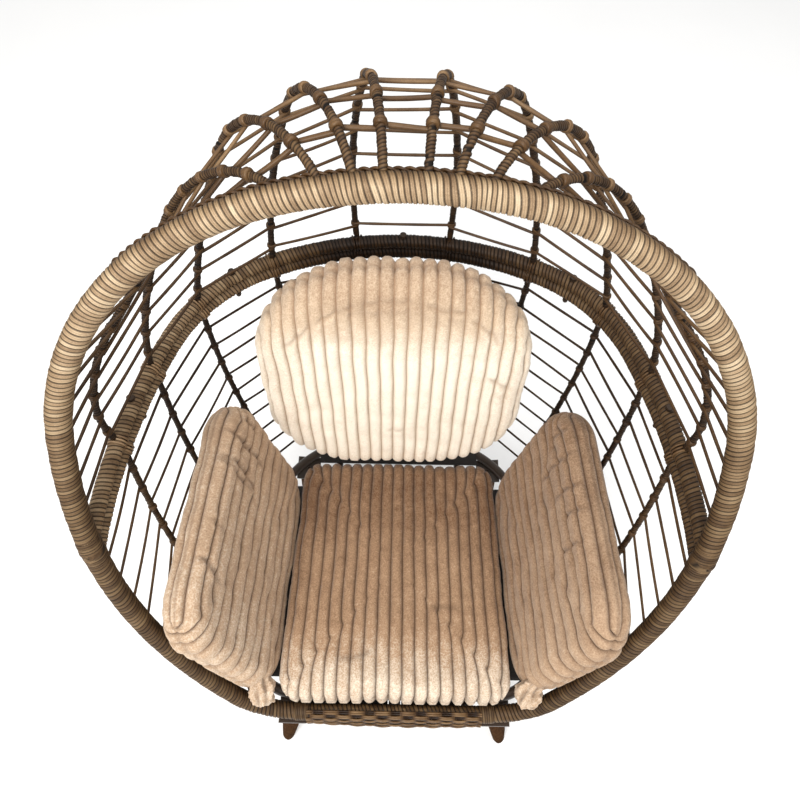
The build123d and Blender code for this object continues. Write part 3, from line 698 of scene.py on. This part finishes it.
# painted light and shade: each apron strand lighter where it passes over and darker where it dips under
lit_apron = lambda P: 0.035 + 0.26 * smooth01((np.cos((P[:, 0] + 180) / 26 * math.pi) * P_SIGN + 0.7) / 1.5)
bow = lambda x: 9.0 * np.clip(1 - ((x - 25) / 205.0) ** 2, 0, 1)
rows = [(math.cos(t) * -17.0, math.sin(t) * 17.0, 0.0) for t in np.radians([78, 52, 26, 0])] + [(-18.4, -6.6, 0.35), (-18.7, -12.8, 0.68), (-18.9, -19.0, 0.95)]
x = np.linspace(-178, 178, 260)
for row, (dy, dz, hang) in enumerate(rows):
    P_SIGN = -1.0 if row % 2 else 1.0
    for k in (0, 1):
        over = np.cos((x + 180) / 26 * math.pi + (math.pi if row % 2 else 0))
        nr = unit(np.array([dy, dz]))
        lift = 1.9 * over
        tw = (k - 0.5) * 3.7
        y = rc[1] + dy + nr[0] * lift + nr[1] * tw - bow(x) * 0.55 * hang
        z = rc[2] + dz + nr[1] * lift - nr[0] * tw - bow(x) * hang - 1.5 * hang * np.cos((x + 180) / 26 * math.pi) + 0.5 * wob(x, 40, 400 + row * 2 + k)
        rod(a, np.c_[x, y, z], 2.2, 8, 411 + row * 2 + k, tone=0.5, lit=lit_apron)
# painted shade: the upright apron strands get a fixed low lit factor
for i, x0 in enumerate(np.arange(-167, 168, 26.0)):
    for k in (-1, 1):
        b = bow(float(x0))
        t = np.radians(np.linspace(92, 0, 12))
        Y = np.r_[np.cos(t) * -17.0, -18.2, -18.8 - 0.4 * b, -18.9 - 0.5 * b]
        Z = np.r_[np.sin(t) * 17.0, -7.0, -14.0 - 0.6 * b, -21.5 - b]
        rod(a, np.c_[np.full(15, x0 + k * 1.9 + 0.6 * math.sin(i * 2.3)), rc[1] + Y, rc[2] + Z], 1.8, 7, 451 + i * 2 + k, tone=0.45, lit=lambda P: np.full(len(P), 0.12))
apron_ob = finish_piece(a.build("front_apron_strands", m_apron), "frame", "wicker_strand", "front_apron_weave")

# ---------------------------------------------------------------- legs
LEGS = {"front_left_leg": ((-212.0, -178.0, -566.0), (-257.0, -222.0)), "front_right_leg": ((212.0, -178.0, -566.0), (257.0, -222.0)),
        "rear_left_leg": ((-232.0, 392.0, -634.0), (-264.0, 424.0)), "rear_right_leg": ((232.0, 392.0, -634.0), (264.0, 424.0))}
for i, (name, (top, tip)) in enumerate(LEGS.items()):
    A, B = O + np.array(top), np.array([tip[0], tip[1] - 185.2, 0.0])
    d = unit(B - A)
    L = (A[2] - 4.0) / -d[2]
    t = np.r_[0, 1.5, 4, np.linspace(8, L - 16, 40), L - 12, L - 8, L - 5, L - 2.5, L - 1, L]
    r = 21 + (13 - 21) * t / (np.linalg.norm(B - A) + 12) + 0.8 * np.sin(np.clip(t / L, 0, 1) * math.pi)
    e = np.clip((t - (L - 12)) / 12, 0, 1)
    r = r * (1 - 0.38 * e ** 3)
    r[0], r[1] = r[2] * 0.9, r[2] * 0.97
    N = unit(np.cross(d, [0, 1, 0]))
    Bn = np.cross(d, N)
    ph = np.arange(40) / 40 * TAU
    sq = 1 + 0.03 * np.cos(4 * ph)
    rad = (N[None, :] * np.cos(ph)[:, None] + Bn[None, :] * np.sin(ph)[:, None])
    V = A + d * t[:, None, None] + rad[None] * (r[:, None] * sq[None, :])[..., None]
    w = smooth01((t - (L - 30)) / 30)
    off = -(V - (A + d * t[:, None, None]))[..., 2] / d[2] * w[:, None]
    V = V + d * off[..., None]
    acc = Acc()
    acc.add(V.reshape(-1, 3), ring_faces(len(t), 40), np.zeros((len(t) * 40, 3)), ends(len(t), 40))
    finish_piece(acc.build(name + "_turned", m_leg), "frame", "leg", name)


# ---------------------------------------------------------------- painted shadow: dark edge strips under the deck straps, closing the see-through gaps beside and in front of the seat
acc = Acc()
for x0, x1, s0, s1, n0 in ((-268, -214, 30, 480, 9.0), (214, 268, 30, 480, 9.0),
                           (-196, -164, -22.5, -11.5, 3.0), (-136, -14, -31, -11.5, 3.0), (14, 136, -31, -11.5, 3.0)):
    u, w = np.meshgrid(np.linspace(x0, x1, 9), np.linspace(s0, s1, 60), indexing="ij")
    sag = 0.5 * np.sin((w - s0) / 46.0 * math.pi)
    top = np.stack([slope3(float(p), float(q), n0 + 1.9 - abs(float(k))) for p, q, k in zip(u.ravel(), w.ravel(), sag.ravel())])
    low = top - np.array([0, 0, 1.6])
    ids = np.arange(u.size).reshape(u.shape)
    rim = np.r_[ids[:, 0], ids[-1, 1:], ids[-2::-1, -1], ids[0, -2:0:-1]]
    qd = np.stack([ids[:-1, :-1], ids[1:, :-1], ids[1:, 1:], ids[:-1, 1:]], -1).reshape(-1, 4)
    nxt = np.roll(rim, -1)
    faces = np.vstack([qd, qd[:, ::-1] + u.size, np.stack([rim, rim + u.size, nxt + u.size, nxt], -1)])
    acc.add(np.vstack([top, low]), faces, np.zeros((2 * u.size, 3)), [])
finish_piece(acc.build("deck_edge_strips", m_web), "frame", "deck_webbing")

# ---------------------------------------------------------------- cushions
def place(origin, x, z):
    z = unit(z)
    y = unit(np.cross(z, x))
    x = np.cross(y, z)
    return np.array(origin, float), np.stack([x, y, z])


SN, SX = np.array([0, math.sin(SLOPE), math.cos(SLOPE)]), np.array([1.0, 0, 0])
SB = np.cross(SN, SX)
seat_place = place(slope3(0, -27.0, 65.8), SX, SN)
bl = math.radians(9.83)
back_place = place(O + np.array([-14.33, 445.6, -227.4]), SX, np.array([0, -math.cos(bl), math.sin(bl)]))


def side_place(sx):
    toe, lean, pitch = math.radians(1.22), math.radians(13.95), math.radians(sx * -0.03)
    to = lambda v: v[0] * SX + v[1] * SB + v[2] * SN
    x = to((math.sin(toe) * -sx, math.cos(toe), 0))
    z = to((-sx * math.cos(lean), -math.sin(toe) * math.cos(lean), math.sin(lean)))
    o, F = place(slope3(sx * 309.0, 230.05, 236.35), x, z)
    x2 = F[0] * math.cos(pitch) + F[1] * math.sin(pitch)
    return place(o, x2, F[2])


# the space each cushion may fill, as a rounded slab: distance outside it
def plan_gap(x, y, w, h, r):
    qx, qy = np.abs(x) - w / 2 + r, np.abs(y) - h / 2 + r
    return np.hypot(np.maximum(qx, 0), np.maximum(qy, 0)) + np.minimum(np.maximum(qx, qy), 0) - r


def slab_gap(d, z, T, e):
    a, b = d + e, np.abs(z) - (T / 2 - e)
    return np.hypot(np.maximum(a, 0), np.maximum(b, 0)) + np.minimum(np.maximum(a, b), 0) - e


def seat_gap(V):
    w = 234.0 - 9.0 * V[:, 1] / 529.0
    return slab_gap(plan_gap(V[:, 0] * 234.0 / w, V[:, 1] - 264.5, 468, 529, 45), V[:, 2], 100, 36)


def back_gap(V):
    return slab_gap(plan_gap(V[:, 0], V[:, 1], 556, 590, np.where(V[:, 1] > 0, 240.0, 200.0)), V[:, 2], 104, 48)


def side_gap(V):
    return slab_gap(plan_gap(V[:, 0], V[:, 1], 490, 395, 90), V[:, 2], 78, 37)


def held(V, gap, most):
    """Bring anything outside the cushion's space back to its surface."""
    for _ in range(3):
        g = gap(V)
        grad = np.stack([gap(V + d) - gap(V - d) for d in np.eye(3) * 0.4], -1) / 0.8
        V = V - unit(grad) * np.maximum(g - most, 0)[:, None]
    return V


def squircle(a, b, m):
    """Square to rounded square, keeping rays."""
    top = np.maximum(np.abs(a), np.abs(b))
    low = (np.abs(a) ** m + np.abs(b) ** m) ** (1 / m)
    k = np.where(low > 1e-9, top / np.maximum(low, 1e-9), 1.0)
    return a * k, b * k


def dome(d, E, p=2.7):
    q = np.clip(d / E, 0, 1)
    return (1 - (1 - q) ** p) ** (1 / p)


class Cushion:
    """Two ribbed panels sewn together along their edge. a runs across the ribs, b along them."""

    def __init__(self, name, body, place, plan, size, half, edge, crown, pitch, per, rows, rib, mat, gap, up=1, flat_back=False, wide=None):
        self.name, self.body, (self.o, self.F) = name, body, place
        self.plan, self.size, self.half, self.edge, self.crown = plan, size, half, edge, crown
        self.pitch, self.per, self.rows, self.rib, self.mat, self.gap, self.up, self.flat_back = pitch, per, rows, rib, mat, gap, up, flat_back
        t = np.linspace(-1, 1, 4001)
        a_of = self.by_length(np.stack([t, np.zeros_like(t)], -1))
        b_of = self.by_length(np.stack([np.zeros_like(t), t], -1))
        q = a_of[0] / a_of[1]
        u = np.r_[0, np.cumsum(np.diff(a_of[0]) / (pitch * (1.0 if wide is None else wide((q[1:] + q[:-1]) / 2))))]
        self.nr = int(round(u[-1]))
        self.na, self.nb = self.nr * per + 1, rows
        arc = np.interp(np.linspace(0, u[-1], self.na), u, a_of[0])
        self.av = np.interp(arc, a_of[0], t)
        self.bv = np.interp(np.linspace(0, b_of[1], self.nb), b_of[0], t)
        self.av[0], self.av[-1], self.bv[0], self.bv[-1] = -1, 1, -1, 1
        self.arc_a, self.arc_b = arc - a_of[1] / 2, np.linspace(-b_of[1] / 2, b_of[1] / 2, self.nb)

    def by_length(self, ab):
        P = self.base(ab[:, 0], ab[:, 1], 1)
        return np.r_[0, np.cumsum(np.linalg.norm(np.diff(P, axis=0), axis=1))], np.linalg.norm(np.diff(P, axis=0), axis=1).sum()

    def base(self, a, b, side):
        """Smooth panel: a crowned face whose edge turns over to the seam."""
        x, y = self.plan(a, b)
        da, db = self.size[0] / 2 * (1 - np.abs(a)), self.size[1] / 2 * (1 - np.abs(b))
        h = dome(da, self.edge) * dome(db, self.edge)
        flat = side < 0 and self.flat_back
        c = 0.0 if flat else self.crown
        bow = (1 - a * a) * (1 - b * b)
        z = side * self.half * h * (1 - c + c * bow)
        return np.stack([x, y, z], -1)

    def panels(self):
        A, B = np.meshgrid(self.av, self.bv, indexing="ij")
        front, back = self.base(A, B, 1), self.base(A, B, -1)
        return front, back

    def weld(self, front, back, step_a=1, step_b=1):
        """Vertices and faces of both panels with one shared edge."""
        f, k = front[::step_a, ::step_b], back[::step_a, ::step_b]
        na, nb = f.shape[:2]
        idf = np.arange(na * nb).reshape(na, nb)
        idb = idf.copy()
        inner = np.zeros((na, nb), bool)
        inner[1:-1, 1:-1] = True
        idb[inner] = na * nb + np.arange(inner.sum())
        V = np.vstack([f.reshape(-1, 3), k[inner]])

        def quads(i):
            return np.stack([i[:-1, :-1], i[1:, :-1], i[1:, 1:], i[:-1, 1:]], -1).reshape(-1, 4)
        qf, qb = quads(idf), quads(idb)[:, ::-1]
        c = f[na // 2 + 1, nb // 2] - f[na // 2, nb // 2], f[na // 2, nb // 2 + 1] - f[na // 2, nb // 2]
        if np.cross(*c)[2] < 0:
            qf, qb = qf[:, ::-1], qb[:, ::-1]
        return V, np.vstack([qf, qb]), idf, idb, inner


def normals(V, Q):
    n = np.cross(V[Q[:, 2]] - V[Q[:, 0]], V[Q[:, 3]] - V[Q[:, 1]])
    out = np.zeros_like(V)
    for k in range(4):
        np.add.at(out, Q[:, k], n)
    return unit(out)


def seat_plan(a, b):
    a, b = squircle(a, b, 14.0)
    y = 264.5 + 262.0 * b
    w = 234 - 9 * y / 529 - 2.5
    return a * w * (1 - 0.008 * (1 - b * b)), y


def back_plan(a, b):
    W, H = 278.0 - 3, 295.0 - 3
    x = a * W
    def corner(x, r):
        q = np.clip((np.abs(x) - (W - r)) / r, 0, 1)
        return r * (1 - np.sqrt(np.maximum(0, 1 - q ** 2)))
    top, bot = H - corner(x, 237.0), -H + corner(x, 197.0)
    return x, (top + bot) / 2 + (top - bot) / 2 * b


def side_plan(up):
    def plan(a, b):
        a2, b2 = squircle(a, b, 6.5)
        y = a2 * (197.5 - 3) * (1 - 0.012 * (1 - b2 * b2))
        x = b2 * (245.0 - 3) * (1 - 0.012 * (1 - a2 * a2))
        return x, y * up
    return plan


RIB_H = 8.0


def side_wide(q):
    return 1.0 - 0.36 * smooth01((q - 0.80) / 0.14) - 0.12 * smooth01((0.16 - q) / 0.12)


cushions = [
    Cushion("seat_cushion", "seat_cushion", seat_place, seat_plan, (463, 524), 50 - RIB_H, 40, 0.05, 25.5, 14, 97, RIB_H, m_seat, seat_gap, flat_back=True),
    Cushion("back_cushion", "back_cushion", back_place, back_plan, (550, 584), 52 - RIB_H, 58, 0.10, 26.0, 14, 97, RIB_H, m_back, back_gap),
    Cushion("left_side_cushion", "left_side_cushion", side_place(-1), side_plan(1), (389, 484), 39 - RIB_H, 42, 0.08, 39.0, 16, 97, RIB_H, m_side, side_gap, up=1, wide=side_wide),
    Cushion("right_side_cushion", "right_side_cushion", side_place(1), side_plan(-1), (389, 484), 39 - RIB_H, 42, 0.08, 39.0, 16, 97, RIB_H, m_side, side_gap, up=-1, wide=side_wide),
]

# stuffing: each smooth cover is blown up a little as cloth, and the change is kept
sims, moved = [], {}
for c in cushions:
    front, back = c.panels()
    sa, sb = 7, 2
    V, Q, idf, idb, inner = c.weld(front, back, sa, sb)
    me = bpy.data.meshes.new("sim_" + c.name)
    me.from_pydata([tuple(v) for v in (V * MM)], [], [tuple(int(k) for k in q) for q in Q])
    ob = bpy.data.objects.new("sim_" + c.name, me)
    bpy.context.scene.collection.objects.link(ob)
    md = ob.modifiers.new("Cloth", "CLOTH")
    st = md.settings
    st.quality = 6
    st.mass = 0.4
    st.tension_stiffness = st.compression_stiffness = 18
    st.shear_stiffness = 8
    st.bending_stiffness = 0.6
    st.use_pressure = True
    st.uniform_pressure_force = 3.5
    st.shrink_min = -0.03
    st.effector_weights.gravity = 0
    md.collision_settings.use_self_collision = False
    md.point_cache.frame_start, md.point_cache.frame_end = 1, 24
    sims.append((c, ob, V, idf, idb, (sa, sb)))
sc = bpy.context.scene
for f in range(1, 21):
    sc.frame_set(f)
dg = bpy.context.evaluated_depsgraph_get()
for c, ob, V, idf, idb, st in sims:
    ev = ob.evaluated_get(dg).to_mesh()
    co = np.zeros(len(ev.vertices) * 3, np.float32)
    ev.vertices.foreach_get("co", co)
    D = co.reshape(-1, 3).astype(float) / MM - V
    D -= D.mean(0)
    L = np.linalg.norm(D, axis=1, keepdims=True)
    D = D * np.minimum(1, 9.0 / np.maximum(L, 1e-6)) * np.array([0.3, 0.3, 1.0])
    moved[c.name] = (D[idf], D[idb], st)
for c, ob, *_ in sims:
    me = ob.data
    bpy.data.objects.remove(ob)
    bpy.data.meshes.remove(me)
sc.frame_set(1)


def finer(D, sa, sb, na, nb):
    """Coarse change on the panel grid, smoothly spread to the fine grid."""
    ia, ib = np.arange(na) / sa, np.arange(nb) / sb
    out = np.zeros((na, nb, 3))
    for k in range(3):
        t = np.stack([np.interp(ib, np.arange(D.shape[1]), D[i, :, k]) for i in range(D.shape[0])])
        out[..., k] = np.stack([np.interp(ia, np.arange(D.shape[0]), t[:, j]) for j in range(nb)], 1)
    for _ in range(2):
        p = np.pad(out, ((2, 2), (1, 1), (0, 0)), "edge")
        m = (p[:-4] + p[1:-3] + p[2:-2] + p[3:-1] + p[4:]) / 5
        m = (m[:, :-2] + m[:, 1:-1] + m[:, 2:]) / 3
        m[0], m[-1], m[:, 0], m[:, -1] = out[0], out[-1], out[:, 0], out[:, -1]
        out = m
    return out


def crease(X, Y, x0, y0, x1, y1, depth, width):
    """Press line between two plan points, fading at both ends: (drop, fold shade)."""
    d = np.array([x1 - x0, y1 - y0])
    L = math.hypot(*d)
    d = d / L
    u = (X - x0) * d[0] + (Y - y0) * d[1]
    v = -(X - x0) * d[1] + (Y - y0) * d[0]
    v = v + 3.0 * np.sin(u / 17.0 + x0)
    env = smooth01(u / 16) * smooth01((L - u) / 16)
    line = np.exp(-(v / width) ** 2)
    puff = np.exp(-((np.abs(v) - 2.4 * width) / (1.3 * width)) ** 2)
    return env * (-depth * line + 0.28 * depth * puff), env * line


CREASES = {
    "left_side_cushion": [(150, 40, 152, 192, 6, 4.5), (92, 58, 104, 194, 7, 5), (76, 70, 88, 194, 5, 4), (200, 92, 196, 170, 5, 4), (-122, 118, -100, 194, 6, 5), (-40, 140, -32, 190, 3, 4)],
    "right_side_cushion": [(112, 70, 120, 192, 6, 4.5), (50, 106, 56, 192, 6, 4.5), (0, 130, 4, 192, 5, 4.5), (-56, 94, -48, 180, 5, 4.5), (170, 120, 172, 190, 4, 4)],
    "back_cushion": [(-60, 238, 40, 250, 6, 4.5), (50, 247, 140, 218, 6, 4.5), (-150, 196, -66, 236, 6, 4.5), (-215, 120, -150, 190, 5, 5), (140, 212, 205, 140, 5, 5), (-20, -140, 30, -132, 2.0, 5), (180, 50, 245, 10, 4, 7)],
    "seat_cushion": [(-120, 70, -40, 84, 1.5, 6), (60, 170, 140, 180, 1.5, 6)],
}

for c in cushions:
    front, back = c.panels()
    if c.name in moved:
        Df, Db, (sa, sb) = moved[c.name]
        front, back = front + finer(Df, sa, sb, c.na, c.nb), back + finer(Db, sa, sb, c.na, c.nb)
    V, Q, idf, idb, inner = c.weld(front, back)
    nrm = normals(V, Q)
    # stuffed out to just inside its space, so that neighbours meet
    for _ in range(2):
        V = V + nrm * (np.clip(-6.8 - c.gap(V), -9, 14) * 0.8)[:, None]
    nrm = normals(V, Q)
    A, B = np.meshgrid(np.arange(c.na), np.arange(c.nb), indexing="ij")
    t = ((A + c.per // 2) % c.per) / c.per
    ridge_no = (A + c.per // 2) // c.per
    seed = sum(map(ord, c.name))
    rib = 1 - np.abs(2 * t - 1) ** 2.5
    rib = np.where(t == 0, 0.0, rib)
    arc_b = np.broadcast_to(c.arc_b[None, :], A.shape)
    Lb, La = c.arc_b[-1], c.arc_a[-1]
    edge_b = Lb - np.abs(arc_b)
    edge_a = La - np.abs(np.broadcast_to(c.arc_a[:, None], A.shape))
    full = 1 + 0.16 * np.sin(arc_b / 60.0 + hash01(ridge_no, seed) * 20) + 0.18 * (hash01(ridge_no, seed + 1) - 0.5)
    H = np.zeros(len(V))
    groove_shade_v, fold_shade_v, painted_light_v = np.zeros(len(V)), np.zeros(len(V)), np.zeros(len(V))
    W = V @ c.F + c.o
    for ids, side in ((idb, -1), (idf, 1)):
        pan = V[ids]
        h = c.rib * rib * full
        seam = np.exp(-(edge_b / 5.0) ** 2)
        h = h * (1 + 0.25 * np.exp(-((edge_b - 14) / 12.0) ** 2)) * (1 - 0.35 * seam)
        # painted shade: g darkens the channels between ribs, fold darkens the seams at the rib ends and along the long
        # edges, and the creases
        g = 0.70 * np.abs(2 * t - 1) ** 7 + 0.30 * np.abs(2 * t - 1) ** 2.4
        fold = np.maximum(0.4 * seam, 0.45 * np.exp(-(edge_a / 1.6) ** 2))
        if side > 0:
            for cr in CREASES.get(c.name, ()):
                dr, sh = crease(pan[..., 0], pan[..., 1] * c.up, *cr)
                h = h + dr * (0.35 + 0.65 * rib)
                fold = np.maximum(fold, sh * 0.5)
        H[ids] = h
        groove_shade_v[ids] = g
        fold_shade_v[ids] = np.clip(fold, 0, 1)
        x, y = pan[..., 0], pan[..., 1] * c.up
        # painted light and shade: the seat lighter at the front and darker at the back and rear corners; the back
        # lighter in the middle, darker toward the top, sides and bottom; the side cushions lighter toward the front,
        # darker toward the rear and the bottom, the right one darker overall
        if c.name == "seat_cushion":
            tone = 0.325 + 0.35 * smooth01((165 - y) / 150) - 0.23 * smooth01((y - 210) / 230) - 0.10 * smooth01((np.abs(x) - 150) / 80) * smooth01((y - 120) / 100)
        elif c.name == "back_cushion":
            tone = 0.95 - 0.80 * smooth01((y - 70) / 210) - 0.20 * smooth01((np.abs(x) - 150) / 140) - 0.22 * smooth01((-190 - y) / 90)
        else:
            tone = 0.45 + 0.07 * smooth01((-70 - x) / 150) - 0.07 * smooth01((x - 40) / 160) - 0.12 * smooth01((-100 - y) / 90)
            if c.up < 0:
                tone = tone - 0.24 - 0.08 * smooth01((x + 60) / 120) + 0.05 * smooth01((-120 - x) / 90)
        painted_light_v[ids] = tone
    V = V + nrm * H[:, None]
    # the channels pull the edge in at both ends of the ribs
    pull = (1 - rib) * np.exp(-(edge_b / 15.0) ** 2)
    for ids in (idb, idf):
        way = np.sign(arc_b) * pull * np.where((arc_b < 0) & (c.name == "seat_cushion"), 9.0, 4.0)
        mid_b = V[ids][:, c.nb // 2 - 1:c.nb // 2 + 2].mean(1, keepdims=True)
        d = V[ids] - mid_b
        d[..., 2] = 0
        V[ids] = V[ids] - unit(d) * np.abs(way)[..., None]
    Wd = V @ c.F + c.o
    lump = cloud(Wd, 95, seed + 7) * 1.7 + cloud(Wd, 34, seed + 8) * 0.7 + cloud(Wd, 13, seed + 9) * 0.35
    V = V + nrm * (lump - 1.2)[:, None]
    for k in (0, 1):
        V[:, k] += cloud(Wd, 160, seed + 11 + k) * 0.9
    V = held(V, c.gap, 0.4)
    Wd = V @ c.F + c.o
    col = np.stack([np.clip(groove_shade_v, 0, 1), np.clip(painted_light_v, 0, 1), np.clip(fold_shade_v, 0, 1)], -1)
    ob = make_mesh(c.name + "_plush", Wd, Q, col, [], c.mat)
    finish_piece(ob, c.body, "plush_cover", c.name + "_cover", c.name + "_fill")
    print("cushion", c.name, c.nr, "ribs", len(Q), "faces", "outside", float(c.gap(V).max()), "fill", float(np.percentile(c.gap(V), 60)))

rail_pts = rail_path.at(np.arange(0, rail_path.length, 4.0))
# cover fabric gathered into a loose bunch at the front lower corner of each side cushion
for name, sx, at, to in (("left_side_cushion", -1, (-222.0, -132.0, 12.0), (-262.0, -158.0, 22.0)), ("right_side_cushion", 1, (-222.0, -122.0, 12.0), (-258.0, -148.0, 24.0))):
    o, F = side_place(sx)
    at, to = np.array(at), np.array(to)
    if sx > 0:
        at, to = at * np.array([1, -1, 1]), to * np.array([1, -1, 1])
    ax = unit(to - at)
    e1 = unit(np.cross(ax, [0, 0, 1.0]))
    e2 = np.cross(ax, e1)
    n, m = 44, 56
    t = np.linspace(0.06, math.pi - 0.06, n)
    ph = np.arange(m) / m * TAU
    L = np.linalg.norm(to - at) / 2 + 8
    prof = np.sin(t) ** 0.7 * (1 - 0.16 * np.exp(-((t - 1.2) / 0.25) ** 2))
    fold = 1 + 0.16 * np.sin(7 * ph[None, :] + 2.2 * np.cos(t)[:, None] + sx) * np.sin(t)[:, None] + 0.10 * np.sin(3 * ph[None, :] - 4 * t[:, None])
    R1 = 28.0 * prof[:, None] * fold
    V = (at + to) / 2 - ax * (np.cos(t) * L)[:, None, None] + (e1 * np.cos(ph)[:, None] + e2 * np.sin(ph)[:, None] * 0.85)[None] * R1[..., None]
    V = V + unit(V - (at + to) / 2) * (cloud(V, 20, 900 + sx) * 2.6 + cloud(V, 8, 940 + sx) * 1.4)[..., None]
    W = (V @ F + o).reshape(-1, 3)
    for _ in range(2):
        near = rail_pts[((W[:, None, :] - rail_pts[None]) ** 2).sum(-1).argmin(1)]
        W = W + unit(W - near) * np.maximum(19.6 - np.linalg.norm(W - near, axis=1), 0)[:, None]
        S = (W - seat_place[0]) @ seat_place[1].T
        W = W + (np.sign(S[:, 0]) * np.maximum(3.0 - seat_gap(S), 0))[:, None] * SX
    W = W.reshape(V.shape)
    # painted shade in the folds of the gather, through the groove channel
    g = np.clip((1.04 - fold) * 4.0, 0, 1)
    col = np.stack([g * 0.6, np.full_like(g, 0.55), np.zeros_like(g)], -1)
    acc = Acc()
    acc.add(W.reshape(-1, 3), ring_faces(n, m), col.reshape(-1, 3), ends(n, m))
    ob = finish_piece(acc.build(name + "_gather", m_side), name, "plush_cover")

# ---------------------------------------------------------------- floor, light, camera
me = bpy.data.meshes.new("floor")
me.from_pydata([(-7, -7, 0), (7, -7, 0), (7, 7, 0), (-7, 7, 0)], [], [(0, 1, 2, 3)])
floor = bpy.data.objects.new("floor", me)
bpy.context.scene.collection.objects.link(floor)
M = Mat("floor_white")
M.l(M.ramp(M.noise(2.0, 2.0), [(0.3, (0.93, 0.93, 0.925, 1)), (0.7, (0.95, 0.95, 0.945, 1))]), M.p.inputs["Base Color"])
M.p.inputs["Roughness"].default_value = 0.9
M.p.inputs["Specular IOR Level"].default_value = 0.0
me.materials.append(M.m)

world = bpy.data.worlds.new("studio")
bpy.context.scene.world = world
world.use_nodes = True
bg = world.node_tree.nodes["Background"]
bg.inputs[0].default_value = (1.0, 1.0, 1.0, 1)
bg.inputs[1].default_value = 0.74


def area(name, loc, target, size, power, colour=(1, 1, 1)):
    l = bpy.data.lights.new(name, "AREA")
    l.size, l.energy, l.color = size, power, colour
    o = bpy.data.objects.new(name, l)
    o.location = loc
    o.rotation_mode = "QUATERNION"
    o.rotation_quaternion = (Vector(target) - Vector(loc)).to_track_quat("-Z", "Y")
    bpy.context.scene.collection.objects.link(o)
    return o


area("key", (-0.8, -2.0, 2.7), (0, 0.1, 0.7), 1.5, 92, (1.0, 0.975, 0.94))
area("top", (0.3, 0.2, 3.4), (0, 0, 0.6), 2.4, 52)

cam = bpy.data.cameras.new("camera")
cam.lens, cam.sensor_width, cam.sensor_fit = 29.76, 36.0, "HORIZONTAL"
cam.clip_start, cam.clip_end = 0.05, 50
cam_ob = bpy.data.objects.new("camera", cam)
right, up, look = Vector((0.99983, 0.01492, 0.01092)), Vector((-0.0183, 0.88283, 0.46934)), Vector((0.00264, 0.46946, -0.88295))
R = Matrix((right, up, -look)).transposed()
cam_ob.rotation_mode = "QUATERNION"
cam_ob.rotation_quaternion = R.to_quaternion()
cam_ob.location = (-0.00359, -0.44067, 1.81787)
bpy.context.scene.collection.objects.link(cam_ob)
bpy.context.scene.camera = cam_ob
bpy.context.scene.view_settings.view_transform = "Standard"
